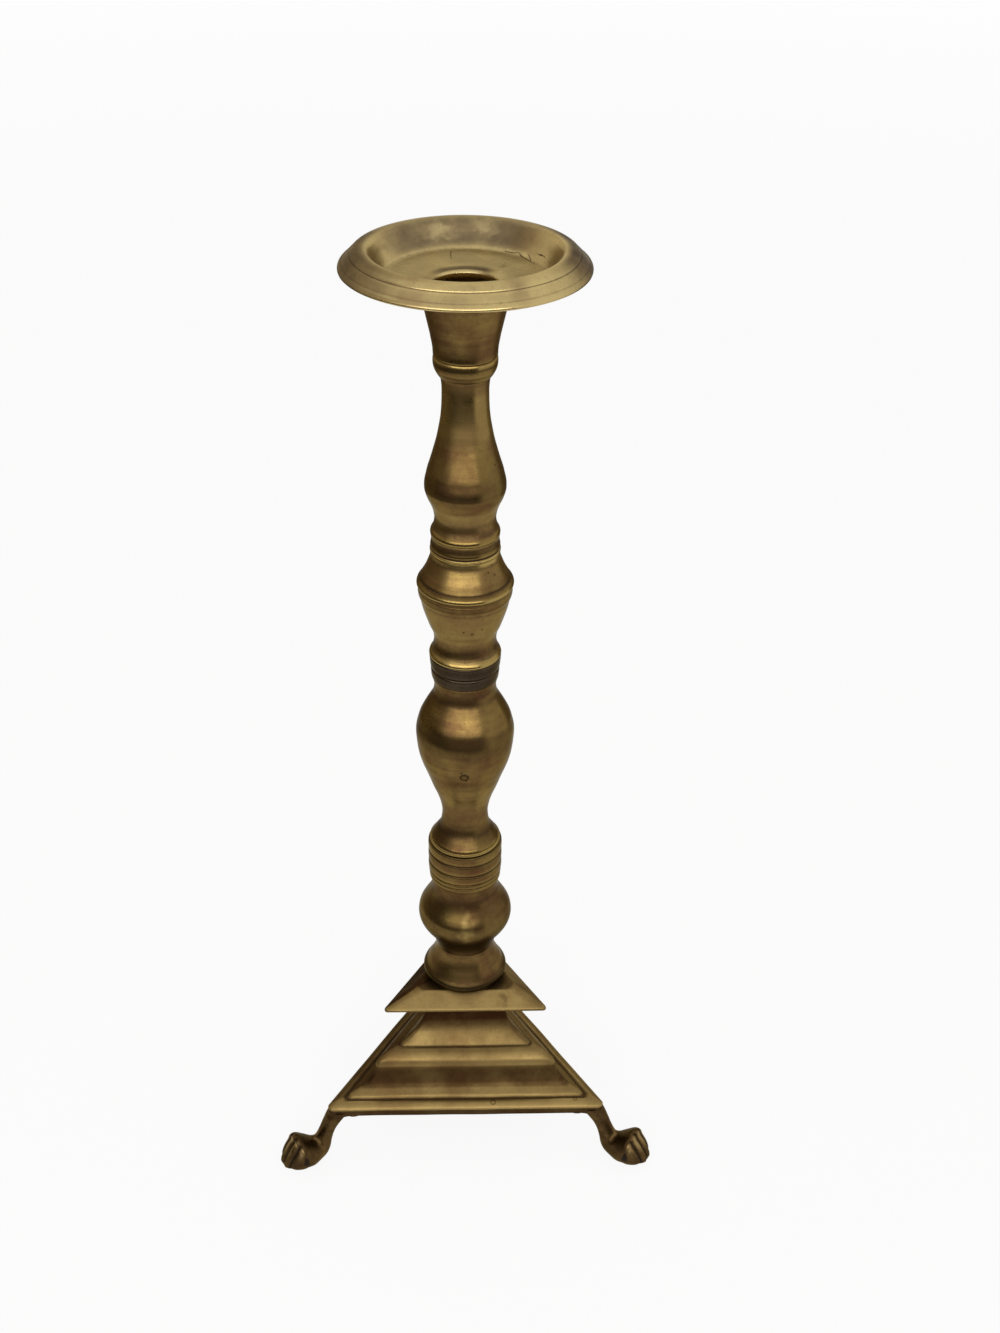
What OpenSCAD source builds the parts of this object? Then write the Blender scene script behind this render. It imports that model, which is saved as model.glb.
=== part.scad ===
// Turned candlestick on a moulded triangular base with three paw feet.
// Lengths are millimetres, +Z is up and -Y is the front. The origin is the middle of the
// bounding box, on the surface that the feet stand on.

/* [Base] */
// Side of the triangle at the base's lower edge
base_side = 138.6; // [130:0.1:150]
// Height of the base's lower edge above the surface
base_z = 24.7; // [22:0.1:30]
// Height of the base, from its lower edge to the plate
base_h = 51.6; // [48:0.1:62]
// How far the base's three corners are blunted
base_blunt = 2.1; // [1:0.1:3]
// How far the base's lip is cut back at the corners, where the legs join it
lip_blunt = 3.2; // [2.4:0.1:5]
// Thickness of the base's deck, where the rod passes
deck_t = 4; // [3:0.1:5]
// Side of the recess in the deck that keeps the plate from turning
key_side = 30; // [24:0.1:34]
// Depth of that recess
key_h = 1.5; // [1:0.1:2]

/* [Cap plate] */
// Side of the plate at its lower edge
plate_side = 79.8; // [70:0.1:90]
// Side of the plate's flat top
plate_top_side = 53; // [48:0.1:60]
// Height of the plate
plate_h = 6.8; // [5:0.1:10]
// Height of the plate's upright edge
plate_edge = 1; // [0.6:0.1:2]
// How far the plate's corners are cut back
plate_blunt = 1.6; // [0.8:0.1:3]

/* [Feet] */
// How far a foot reaches past the inner side of its leg
foot_reach = 35.6; // [32:0.1:40]
// Widest part of a paw
paw_w = 18.6; // [16:0.1:22]
// Distance from the stem's axis to the inner side of a leg
leg_in = 67; // [66:0.1:70]
// Width of the tongue under the base
tongue_w = 12; // [10:0.1:14]
// Thickness of the tongue
tongue_t = 3; // [2.5:0.1:4]
// Distance from the stem's axis to a foot's screw
screw_at = 52; // [50:0.1:54]
// Diameter of the screws
screw_d = 4; // [3:0.1:5]
// How far a screw goes into the base
screw_in = 5.4; // [4:0.1:5.8]
// Diameter of a screw's head
screw_head_d = 7.4; // [6:0.1:9]
// Height of a screw's head
screw_head_h = 2.6; // [2:0.1:3.4]

/* [Stem] */
// Height of the bell that stands on the plate
bell_h = 20; // [16:0.1:26]
// Radius of the bell's ring
bell_r = 20; // [18:0.1:23]
// Height of the ball knop
ball_h = 40.3; // [34:0.1:48]
// Radius of the ball knop
ball_r = 21.9; // [20:0.1:26]
// Height of the ribbed collar
ribs_h = 22.7; // [18:0.1:28]
// Radius of the ribbed collar
ribs_r = 17; // [15:0.1:20]
// Depth of the grooves between its ribs
rib_groove = 0.7; // [0.4:0.1:1.2]
// Height of the pear-shaped lower baluster
pear_h = 87; // [70:0.1:100]
// Radius of the lower baluster
pear_r = 21.8; // [21:0.1:26]
// Height of the lower joint ring
low_ring_h = 5.6; // [4.4:0.1:8]
// Radius of the lower joint ring
low_ring_r = 14.9; // [13:0.1:17]
// Height of the upper joint ring
high_ring_h = 6; // [4.4:0.1:8]
// Radius of the upper joint ring
high_ring_r = 15.5; // [13:0.1:17]
// Height of the vase
vase_h = 33; // [28:0.1:40]
// Radius of the vase at its mouth
vase_r = 20.1; // [18:0.1:23]
// Height of the coned knop
knop_h = 17.4; // [14:0.1:22]
// Radius of the coned knop
knop_r = 20.6; // [18:0.1:24]
// Height of the bead ring
bead_h = 7.4; // [6:0.1:10]
// Radius of the bead ring
bead_r = 14.8; // [13:0.1:18]
// Height of the upper baluster
neck_h = 70.2; // [60:0.1:84]
// Radius of the upper baluster's bulb
neck_r = 16.8; // [16:0.1:20]
// Height of the ring under the socket
astragal_h = 8.2; // [6:0.1:11]
// Radius of the ring under the socket
astragal_r = 12.9; // [12:0.1:15]

/* [Candle socket] */
// Height of the socket
socket_h = 27.6; // [24:0.1:36]
// Radius of the socket at its mouth
socket_r = 18.2; // [17:0.1:21]
// Diameter of the candle that the socket takes
candle_d = 22.6; // [20:0.1:23]
// Thickness of metal under the candle
socket_floor = 10.8; // [9:0.1:12]

/* [Drip pan] */
// Radius of the pan
pan_r = 48.5; // [44:0.1:60]
// Height of the pan above the socket
pan_h = 14.9; // [12:0.1:20]
// Thickness of the pan's collar round the candle
pan_collar_t = 1.5; // [1:0.1:2]
// How far the pan's collar reaches into the socket
pan_collar_h = 2.5; // [2:0.1:4]

/* [Tie rod] */
// Diameter of the rod
rod_d = 8; // [6:0.1:9]
// How far the rod goes into the socket
rod_in = 8.2; // [7:0.1:8.6]
// Length of rod below its nut
rod_tail = 4; // [2:0.1:6]
// Thickness of the washer
washer_t = 2; // [1.4:0.1:3]
// Diameter of the washer
washer_d = 17; // [15:0.1:18]
// Height of the nut
nut_h = 6.5; // [5:0.1:7]
// Width of the nut across its flats
nut_w = 13; // [11:0.1:14]

/* [Joints of the stem] */
// Diameter of the hollow down the middle of the turned pieces
core_d = 12; // [10:0.1:12.6]
// Diameter of the spigots that centre one piece on the next
spigot_d = 16; // [15:0.1:17]
// Height of the spigots
spigot_h = 3; // [2:0.1:4]

/* [Clearances] */
// Radial gap of a candle in the socket
candle_gap = 0.2; // [0.1:0.05:0.5]
// Radial gap between the spigots and their recesses
spigot_gap = 0.1; // [0.05:0.05:0.2]
// Radial gap round the pan's collar and round the candle in it
pan_gap = 0.3; // [0.2:0.05:0.6]
// Radial gap of threads and of the rod in its nut
thread_gap = 0.05; // [0.02:0.01:0.1]
// Radial gap of the rod and the screws in plain holes
hole_gap = 0.5; // [0.3:0.05:0.8]
// Gap at the end of a spigot, a key or a blind hole
end_gap = 0.3; // [0.2:0.05:0.5]

/* [Hidden] */
$fn = 96;
// Pieces that a curve takes between two points of an outline
curve_steps = 4;
// Directions of the feet, seen from above
foot_angles = [-150, -30, 90];
// How far cuts run past what they cut
overrun = 1;

brass = [0.62, 0.49, 0.27];
pale_brass = [0.66, 0.56, 0.34];
brown_brass = [0.42, 0.31, 0.18];
dark_brass = [0.24, 0.19, 0.14];
iron = [0.33, 0.31, 0.29];

// Distance from the middle of an equilateral triangle to a side and to a corner
function inner_r(side) = side / (2 * sqrt(3));
function corner_r(side) = side / sqrt(3);

base_in = inner_r(base_side);
base_out = corner_r(base_side);
foot_out = leg_in + foot_reach;

core_r = core_d / 2;
spigot_r = spigot_d / 2;
recess_r = spigot_r + spigot_gap;
recess_h = spigot_h + end_gap;
rod_r = rod_d / 2;
thread_r = rod_r + thread_gap;
rod_hole_r = rod_r + hole_gap;
candle_r = candle_d / 2 + candle_gap;
collar_in_r = candle_r + pan_gap;
collar_out_r = collar_in_r + pan_collar_t;

// Heights of the pieces' lower faces
plate_z = base_z + base_h;
bell_z = plate_z + plate_h;
ball_z = bell_z + bell_h;
ribs_z = ball_z + ball_h;
pear_z = ribs_z + ribs_h;
low_ring_z = pear_z + pear_h;
high_ring_z = low_ring_z + low_ring_h;
vase_z = high_ring_z + high_ring_h;
knop_z = vase_z + vase_h;
bead_z = knop_z + knop_h;
neck_z = bead_z + bead_h;
astragal_z = neck_z + neck_h;
socket_z = astragal_z + astragal_h;
pan_z = socket_z + socket_h;

washer_z = plate_z - deck_t - key_h - washer_t;
nut_z = washer_z - nut_h;
rod_z = nut_z - rod_tail;
rod_top = socket_z + rod_in;

// Outlines of the turned pieces. Each is a list of smooth stretches, and each point there is
// a share of the piece's height and a share of its radius.
bell_shares = [
    [[0, 0.87], [0.06, 0.94], [0.14, 0.99], [0.21, 1], [0.27, 0.975], [0.31, 0.945]],
    [[0.32, 0.925], [0.4, 0.885], [0.5, 0.835], [0.6, 0.785], [0.71, 0.74], [0.82, 0.71],
     [0.93, 0.695], [1, 0.695]]
];
ball_shares = [
    [[0, 0.635], [0.075, 0.667], [0.13, 0.708], [0.185, 0.763], [0.24, 0.831], [0.295, 0.9],
     [0.35, 0.954], [0.4, 0.986], [0.455, 1], [0.51, 0.991], [0.565, 0.965], [0.62, 0.913],
     [0.675, 0.852], [0.73, 0.795], [0.785, 0.749], [0.84, 0.717], [0.895, 0.708],
     [0.95, 0.717], [1, 0.735]]
];
pear_shares = [
    [[0, 0.715], [0.01, 0.7], [0.02, 0.67], [0.045, 0.605], [0.07, 0.54], [0.095, 0.507],
     [0.12, 0.489], [0.145, 0.48], [0.17, 0.477], [0.2, 0.49], [0.245, 0.528], [0.295, 0.592],
     [0.345, 0.67], [0.4, 0.745], [0.45, 0.817], [0.5, 0.89], [0.55, 0.945], [0.6, 0.977],
     [0.65, 0.995], [0.675, 1], [0.7, 0.994], [0.73, 0.968], [0.775, 0.917], [0.825, 0.821],
     [0.855, 0.755], [0.88, 0.698], [0.905, 0.651], [0.93, 0.628], [0.955, 0.62],
     [0.98, 0.633], [1, 0.655]]
];
low_ring_shares = [
    [[0, 0.945], [0.12, 0.975], [0.45, 0.993], [0.82, 1], [0.95, 0.98], [1, 0.95]]
];
high_ring_shares = [
    [[0, 0.93], [0.08, 0.965], [0.3, 0.982], [0.65, 0.994], [0.93, 1], [1, 0.985]]
];
vase_shares = [
    [[0, 0.76], [0.02, 0.777], [0.06, 0.756], [0.1, 0.715], [0.135, 0.694], [0.195, 0.672],
     [0.26, 0.667], [0.33, 0.682], [0.4, 0.718], [0.46, 0.762], [0.53, 0.803], [0.6, 0.841],
     [0.66, 0.873], [0.73, 0.906], [0.8, 0.932], [0.85, 0.949], [0.885, 0.973], [0.93, 0.994],
     [1, 1]]
];
knop_shares = [
    [[0, 0.964], [0.03, 0.98], [0.06, 0.976]],
    [[0.075, 0.982], [0.12, 1], [0.19, 0.987], [0.26, 0.944], [0.285, 0.925]],
    [[0.3, 0.917], [0.34, 0.904], [0.49, 0.835], [0.62, 0.787], [0.75, 0.745], [0.86, 0.715],
     [0.96, 0.708], [1, 0.7]]
];
bead_shares = [
    [[0, 0.974], [0.05, 0.998], [0.17, 1], [0.22, 0.974]],
    [[0.24, 0.964], [0.33, 0.984], [0.45, 0.986], [0.6, 0.969], [0.8, 0.96], [0.95, 0.966], [1, 0.974]]
];
neck_shares = [
    [[0, 0.84], [0.01, 0.862], [0.02, 0.869], [0.035, 0.856], [0.055, 0.808], [0.08, 0.775],
     [0.115, 0.759], [0.145, 0.774], [0.175, 0.804], [0.21, 0.857], [0.24, 0.917],
     [0.27, 0.964], [0.3, 0.997], [0.32, 1], [0.34, 0.998], [0.365, 0.982], [0.395, 0.952],
     [0.43, 0.917], [0.49, 0.839], [0.55, 0.768], [0.615, 0.696], [0.68, 0.643],
     [0.74, 0.601], [0.8, 0.576], [0.87, 0.563], [0.93, 0.563], [0.975, 0.582], [1, 0.604]]
];
astragal_shares = [
    [[0, 0.825], [0.08, 0.862], [0.2, 0.907], [0.34, 0.953], [0.49, 0.984], [0.66, 1],
     [0.86, 1], [0.95, 0.99], [1, 0.97]]
];
socket_shares = [
    [[0, 0.69], [0.02, 0.702], [0.09, 0.706], [0.17, 0.72], [0.25, 0.742], [0.33, 0.764],
     [0.41, 0.791], [0.49, 0.819], [0.57, 0.846], [0.65, 0.874], [0.8, 0.929], [1, 1]]
];
// Where the grooves of the ribbed collar lie, as shares of its height
rib_edge_shares = [0, 0.11, 0.212, 0.43, 0.69, 0.912, 1];
// Each rib's share of the collar's radius, from the lowest one up
rib_wide_shares = [0.972, 0.985, 1, 1, 1, 0.953];
// Share of a rib's height that each of its rounded edges takes
rib_round_share = 0.16;

// The pan's upper side, from the edge of its hole to the crest, and its outer side down to
// the bead: shares of the pan's height and radius
pan_top_shares = [
    [[0.134, 0.262], [0.16, 0.33], [0.215, 0.46], [0.29, 0.585], [0.325, 0.625]],
    [[0.335, 0.628], [0.42, 0.66], [0.6, 0.7], [0.78, 0.73], [0.93, 0.757], [1, 0.785],
     [0.985, 0.835], [0.94, 0.878], [0.88, 0.902]],
    [[0.85, 0.898], [0.84, 0.91]],
    [[0.83, 0.916], [0.67, 0.964]],
    [[0.65, 0.966], [0.61, 0.986], [0.54, 1], [0.48, 0.997], [0.456, 0.982]]
];
// The pan's underside, from the bead to the flat that rests on the socket
pan_low_shares = [
    [[0.475, 0.957], [0.58, 0.932], [0.75, 0.876], [0.835, 0.82], [0.72, 0.787], [0.45, 0.746],
     [0.22, 0.68], [0.09, 0.58], [0.02, 0.47], [0, 0.41]]
];
// Height of the bevel round the candle hole, as a share of the pan's height
pan_bevel_share = 0.07;

// Section of a face of the base: shares of the base's height, then of the distance from the
// middle of the triangle to its side
base_face_shares = [
    [[0, 1], [0.064, 1]],
    [[0.085, 0.98], [0.104, 0.94], [0.112, 0.895]],
    [[0.096, 0.865], [0.111, 0.845]],
    [[0.123, 0.84], [0.155, 0.766]],
    [[0.163, 0.75], [0.201, 0.71], [0.267, 0.672], [0.343, 0.654]],
    [[0.362, 0.657], [0.415, 0.634], [0.458, 0.583], [0.481, 0.53], [0.492, 0.5]],
    [[0.489, 0.485], [0.501, 0.48]],
    [[0.558, 0.418], [0.619, 0.362], [0.686, 0.327], [0.762, 0.31], [0.838, 0.315], [0.914, 0.34],
     [0.976, 0.388], [1, 0.4]]
];
// Height of the upright part of the plate's blunted corners, as a share of its upright edge
plate_corner_share = 1.3;
// The hollow inside the base, measured the same way
base_hollow_shares = [
    [[0, 0.85]], [[0.134, 0.675]], [[0.318, 0.58]], [[0.401, 0.53]], [[0.443, 0.41]],
    [[0.562, 0.29]], [[0.657, 0.242]]
];

// Sections along a leg, from the base to the tip of the paw. Each holds the place of its upper
// and its lower edge, as shares of the foot's reach and of the leg's height, and its share of
// the paw's width.
leg_shares = [
    [0.236, 1.154, -0.07, 1.154, 0.57], [0.278, 1.02, -0.023, 1.02, 0.556],
    [0.32, 0.927, 0.043, 0.927, 0.518], [0.367, 0.794, 0.152, 0.769, 0.469],
    [0.413, 0.667, 0.221, 0.599, 0.439], [0.46, 0.559, 0.266, 0.401, 0.449],
    [0.503, 0.504, 0.298, 0.203, 0.495], [0.562, 0.531, 0.358, 0.066, 0.597],
    [0.647, 0.625, 0.464, 0.009, 0.792], [0.739, 0.714, 0.583, -0.031, 0.976],
    [0.804, 0.705, 0.694, -0.013, 1], [0.832, 0.621, 0.768, -0.017, 0.936],
    [0.903, 0.487, 0.869, 0.032, 0.782], [0.964, 0.338, 0.95, 0.105, 0.542],
    [1, 0.231, 0.995, 0.146, 0.288]
];
// Sides of a leg's section
leg_sides = 20;
// Steps between two sections of a leg
leg_steps = 2;
// Length and height of the webs between a leg and the base's lip, as shares of the leg's height
web_length_share = 0.5;
web_height_share = 0.14;
// A web's lower edge, from the leg outwards: shares of its length and of its height
web_shares = [[0, 1], [0.12, 0.72], [0.24, 0.45], [0.4, 0.25], [0.7, 0.1], [1, 0]];

// How far forward a front paw reaches from the stem's axis, over all its sections
function front_reach(row) =
    let (
        mid = leg_in + (row[0] + row[2]) / 2 * foot_reach,
        arm = (row[0] - row[2]) / 2 * foot_reach,
        half_w = row[4] * paw_w / 2
    )
    mid * cos(60) + norm([arm * cos(60), half_w * sin(60)]);
// The stem stands in front of the middle of the bounding box, because one foot points back
stem_y = (max([for (row = leg_shares) front_reach(row)]) - foot_out) / 2;

// One step of a smooth curve from b to c, with the points a and d before and after it
function bend(a, b, c, d, t) =
    b + t * ((c - a) + t * ((2 * a - 5 * b + 4 * c - d) + t * (3 * (b - c) + d - a))) / 2;
function smooth(pts, steps) = len(pts) < 3 ? pts : [
    for (i = [0:len(pts) - 2])
        let (a = pts[max(i - 1, 0)], d = pts[min(i + 2, len(pts) - 1)])
        for (k = [0:steps - 1]) bend(a, pts[i], pts[i + 1], d, k / steps),
    pts[len(pts) - 1]
];
// Points [radius, height] of an outline given as smooth stretches of shares
function outline(runs, h, r) = [
    for (run = runs) each smooth([for (p = run) [p[1] * r, p[0] * h]], curve_steps)
];
function rib(z0, z1, r, groove) =
    let (edge = (z1 - z0) * rib_round_share)
    [[r - groove, z0], [r - groove / 4, z0 + edge / 2], [r, z0 + 2 * edge], [r, z1 - 2 * edge],
     [r - groove / 4, z1 - edge / 2], [r - groove, z1]];

// A turned piece: its outline, a recess below and a spigot above
module turned(points, h, recess = true, spigot = true) {
    above = spigot ? [[spigot_r, h], [spigot_r, h + spigot_h], [core_r, h + spigot_h]]
                   : [[core_r, h]];
    below = recess ? [[core_r, recess_h], [recess_r, recess_h], [recess_r, 0]] : [[core_r, 0]];
    rotate_extrude() polygon(concat(points, above, below));
}

// A three-sided moulded form whose faces all have the section given by points
module three_faced(points, h) {
    reach = base_out;
    section = concat(points, [[-reach, h], [-reach, points[0][1]]]);
    intersection_for (a = foot_angles)
        rotate([0, 0, a + 60])
            rotate([90, 0, 0])
                linear_extrude(4 * reach, center = true) polygon(section);
}

module triangle(side) {
    rotate(foot_angles[2]) circle(r = corner_r(side), $fn = 3);
}

module at_feet() {
    for (a = foot_angles) rotate([0, 0, a]) children();
}

module drip_pan() {
    hole_edge = pan_top_shares[0][0][0] * pan_h;
    color(brass) translate([0, 0, pan_z])
        rotate_extrude() polygon(concat(
            [[collar_in_r, -pan_collar_h], [collar_in_r, hole_edge - pan_bevel_share * pan_h]],
            outline(pan_top_shares, pan_h, pan_r),
            outline(pan_low_shares, pan_h, pan_r),
            [[collar_out_r, 0], [collar_out_r, -pan_collar_h]]
        ));
}

module candle_socket() {
    mouth_z = socket_h - pan_collar_h - end_gap;
    thread_end = rod_in + end_gap;
    color(brown_brass) translate([0, 0, socket_z])
        rotate_extrude() polygon(concat(
            outline(socket_shares, socket_h, socket_r),
            [[collar_out_r + pan_gap, socket_h], [collar_out_r + pan_gap, mouth_z]],
            [[candle_r, mouth_z], [candle_r, socket_floor], [0, socket_floor]],
            [[0, thread_end], [thread_r, thread_end], [thread_r, recess_h]],
            [[recess_r, recess_h], [recess_r, 0]]
        ));
}

module socket_ring() {
    color(brown_brass) translate([0, 0, astragal_z])
        turned(outline(astragal_shares, astragal_h, astragal_r), astragal_h);
}

module upper_baluster() {
    color(brass) translate([0, 0, neck_z]) turned(outline(neck_shares, neck_h, neck_r), neck_h);
}

module bead_ring() {
    color(brass) translate([0, 0, bead_z]) turned(outline(bead_shares, bead_h, bead_r), bead_h);
}

module knop() {
    color(brass) translate([0, 0, knop_z]) turned(outline(knop_shares, knop_h, knop_r), knop_h);
}

module vase() {
    color(brass) translate([0, 0, vase_z]) turned(outline(vase_shares, vase_h, vase_r), vase_h);
}

module upper_joint_ring() {
    color(dark_brass) translate([0, 0, high_ring_z])
        turned(outline(high_ring_shares, high_ring_h, high_ring_r), high_ring_h);
}

module lower_joint_ring() {
    color(dark_brass) translate([0, 0, low_ring_z])
        turned(outline(low_ring_shares, low_ring_h, low_ring_r), low_ring_h);
}

module lower_baluster() {
    color(brass) translate([0, 0, pear_z]) turned(outline(pear_shares, pear_h, pear_r), pear_h);
}

module ribbed_collar() {
    edges = [for (s = rib_edge_shares) s * ribs_h];
    ribs = [
        for (i = [0:len(edges) - 2])
            each rib(edges[i], edges[i + 1], rib_wide_shares[i] * ribs_r, rib_groove)
    ];
    color(brown_brass) translate([0, 0, ribs_z]) turned(ribs, ribs_h);
}

module ball_knop() {
    color(brass) translate([0, 0, ball_z]) turned(outline(ball_shares, ball_h, ball_r), ball_h);
}

module foot_bell() {
    color(brass) translate([0, 0, bell_z]) turned(outline(bell_shares, bell_h, bell_r), bell_h);
}

module cap_plate() {
    low = inner_r(plate_side);
    top = inner_r(plate_top_side);
    face = [[low, 0], [low, plate_edge], [top, plate_h]];
    low_corner = 2 * low - plate_blunt;
    corner = [
        [low_corner, 0], [low_corner, plate_corner_share * plate_edge],
        [2 * top - plate_blunt, plate_h]
    ];
    color(pale_brass) translate([0, 0, plate_z]) difference() {
        union() {
            intersection() {
                three_faced(face, plate_h);
                rotate([0, 0, 60]) three_faced(corner, plate_h);
            }
            cylinder(r = spigot_r, h = plate_h + spigot_h);
            translate([0, 0, end_gap - key_h])
                linear_extrude(key_h) triangle(key_side - 4 * sqrt(3) * spigot_gap);
        }
        translate([0, 0, -key_h - overrun])
            cylinder(r = rod_hole_r, h = plate_h + key_h + spigot_h + 2 * overrun);
    }
}

module base_shell() {
    boss_r = screw_d;
    screw_r = screw_d / 2 + thread_gap;
    deck_low = base_h - deck_t - key_h;
    face = outline(base_face_shares, base_h, base_in);
    hollow = outline(base_hollow_shares, base_h, base_in);
    hollow_low = hollow[0];
    hollow_high = hollow[len(hollow) - 1];
    corner_reach = base_out - lip_blunt;
    corner = [for (p = face) [min(2 * p[0] - base_blunt, corner_reach), p[1]]];
    color(pale_brass) translate([0, 0, base_z]) difference() {
        union() {
            difference() {
                intersection() {
                    three_faced(face, base_h);
                    rotate([0, 0, 60]) three_faced(corner, base_h);
                }
                translate([0, 0, -overrun]) three_faced(concat(
                    [[hollow_low[0], 0]],
                    [for (p = hollow) p + [0, overrun]],
                    [[hollow_high[0], deck_low + overrun]]
                ), deck_low + overrun);
            }
            intersection() {
                three_faced(face, base_h);
                at_feet() translate([screw_at, 0, 0]) cylinder(r = boss_r, h = base_h);
            }
        }
        at_feet() translate([screw_at, 0, -overrun])
            cylinder(r = screw_r, h = screw_in + end_gap + overrun);
        translate([0, 0, base_h - key_h]) linear_extrude(key_h + overrun) triangle(key_side);
        cylinder(r = rod_hole_r, h = base_h + overrun);
    }
}

// One ring of points round a leg, from a row of leg_shares
function leg_ring(row) =
    let (
        top = [leg_in + row[0] * foot_reach, row[1] * base_z],
        low = [leg_in + row[2] * foot_reach, row[3] * base_z],
        mid = (top + low) / 2,
        arm = (top - low) / 2,
        half_w = row[4] * paw_w / 2
    )
    [for (i = [0:leg_sides - 1])
        let (a = 360 * i / leg_sides, p = mid + arm * cos(a))
        [p[0], half_w * sin(a), p[1]]];

module leg_form() {
    rows = smooth(leg_shares, leg_steps);
    rings = [for (row = rows) each leg_ring(row)];
    n = leg_sides;
    last = len(rings) - n;
    sides = [
        for (k = [0:n:last - n]) for (i = [0:n - 1])
            let (j = (i + 1) % n)
            each [[k + i, k + j, k + n + j], [k + i, k + n + j, k + n + i]]
    ];
    start = [for (i = [1:n - 2]) [0, i + 1, i]];
    end = [for (i = [1:n - 2]) [last, last + i, last + i + 1]];
    polyhedron(points = rings, faces = concat(sides, start, end), convexity = 4);
}

module leg(angle) {
    web_length = web_length_share * base_z;
    web_height = web_height_share * base_z;
    web_t = tongue_t;
    web_start = lip_blunt / cos(30);
    web_edge = smooth([for (p = web_shares) [p[0] * web_length, -p[1] * web_height]], curve_steps);
    hole_r = screw_d / 2 + hole_gap;
    color(dark_brass) rotate([0, 0, angle]) difference() {
        intersection() {
            union() {
                leg_form();
                translate([screw_at, -tongue_w / 2, base_z - tongue_t])
                    cube([leg_in + tongue_w / 2 - screw_at, tongue_w, tongue_t]);
                translate([screw_at, 0, base_z - tongue_t]) cylinder(d = tongue_w, h = tongue_t);
                for (side = [0, 1])
                    mirror([0, side, 0])
                        translate([base_out, 0, base_z])
                            rotate([0, 0, 150])
                                translate([web_start, web_t, 0])
                                    rotate([90, 0, 0])
                                        linear_extrude(web_t) polygon(concat([[0, 0]], web_edge));
            }
            translate([0, -foot_out, 0]) cube([2 * foot_out, 2 * foot_out, base_z]);
        }
        translate([screw_at, 0, base_z - tongue_t - overrun])
            cylinder(r = hole_r, h = tongue_t + 2 * overrun);
    }
}

module leg_front_left() leg(foot_angles[0]);
module leg_front_right() leg(foot_angles[1]);
module leg_back() leg(foot_angles[2]);

module leg_screws() {
    head_z = base_z - tongue_t - screw_head_h;
    slot_w = screw_d / 4;
    slot_h = screw_head_h / 2;
    color(iron) at_feet() translate([screw_at, 0, head_z]) difference() {
        union() {
            cylinder(d = screw_head_d, h = screw_head_h);
            cylinder(d = screw_d, h = screw_head_h + tongue_t + screw_in);
        }
        translate([-screw_head_d, -slot_w / 2, -overrun])
            cube([2 * screw_head_d, slot_w, slot_h + overrun]);
    }
}

module tie_rod() {
    color(iron) translate([0, 0, rod_z]) cylinder(r = rod_r, h = rod_top - rod_z);
}

module rod_washer() {
    color(iron) translate([0, 0, washer_z]) difference() {
        cylinder(d = washer_d, h = washer_t);
        translate([0, 0, -overrun]) cylinder(r = rod_hole_r, h = washer_t + 2 * overrun);
    }
}

module rod_nut() {
    color(iron) translate([0, 0, nut_z]) difference() {
        cylinder(r = nut_w / sqrt(3), h = nut_h, $fn = 6);
        translate([0, 0, -overrun]) cylinder(r = thread_r, h = nut_h + 2 * overrun);
    }
}

module placed() {
    translate([0, stem_y, 0]) children();
}

placed() drip_pan();
placed() candle_socket();
placed() socket_ring();
placed() upper_baluster();
placed() bead_ring();
placed() knop();
placed() vase();
placed() upper_joint_ring();
placed() lower_joint_ring();
placed() lower_baluster();
placed() ribbed_collar();
placed() ball_knop();
placed() foot_bell();
placed() cap_plate();
placed() base_shell();
placed() leg_front_left();
placed() leg_front_right();
placed() leg_back();
placed() leg_screws();
placed() tie_rod();
placed() rod_washer();
placed() rod_nut();
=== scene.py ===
"""Aged brass candlestick: a drip pan and a turned stem on a three-sided base with paw feet.

Sizes are millimetres in the classes and metres in Blender. Heights are measured from the
surface that the feet stand on, and -Y is the front.
"""
import logging
import math
from collections.abc import Callable, Iterable, Sequence
from dataclasses import dataclass, field
from enum import Enum

import bmesh
import bpy
from mathutils import Matrix, Vector, noise


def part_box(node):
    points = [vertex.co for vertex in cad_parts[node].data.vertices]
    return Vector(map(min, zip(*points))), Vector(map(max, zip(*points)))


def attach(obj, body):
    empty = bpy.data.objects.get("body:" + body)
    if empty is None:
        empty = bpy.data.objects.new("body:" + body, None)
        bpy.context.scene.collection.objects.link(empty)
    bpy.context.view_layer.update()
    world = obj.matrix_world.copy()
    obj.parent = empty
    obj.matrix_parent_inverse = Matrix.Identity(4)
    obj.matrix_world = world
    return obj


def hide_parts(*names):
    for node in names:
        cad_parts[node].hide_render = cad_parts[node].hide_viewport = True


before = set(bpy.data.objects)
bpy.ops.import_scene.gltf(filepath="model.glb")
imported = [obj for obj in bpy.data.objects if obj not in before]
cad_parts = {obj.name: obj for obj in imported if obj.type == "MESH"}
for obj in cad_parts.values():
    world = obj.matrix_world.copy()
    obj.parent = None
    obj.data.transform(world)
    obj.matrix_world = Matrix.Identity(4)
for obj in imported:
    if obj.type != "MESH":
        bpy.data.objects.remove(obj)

log = logging.getLogger("candlestick")
MM = 0.001
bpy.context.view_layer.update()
PAN_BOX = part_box("drip_pan")
STEM_AXIS = Vector((0.0, (PAN_BOX[0].y + PAN_BOX[1].y) / 2, 0.0))
FOOT_ANGLES = (-150.0, -30.0, 90.0)
# Without a seed, Blender starts its noise vectors from the clock
NOISE_SEED = 1
# Points nearer than this, in millimetres, are one
SAME_POINT = 1e-4
# How the castings of the base and the legs waver alike: amount, size and seed
CAST_WAVER = (0.22, 22.0, 5.0)

BMesh, BMVert, BMEdge = bmesh.types.BMesh, bmesh.types.BMVert, bmesh.types.BMEdge
Material, Socket, Tree = bpy.types.Material, bpy.types.NodeSocket, bpy.types.NodeTree
Pair, Triple = tuple[float, float], tuple[float, float, float]
Run = Sequence[Pair]
Dress = Callable[["AgedBrass"], Material]


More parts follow.
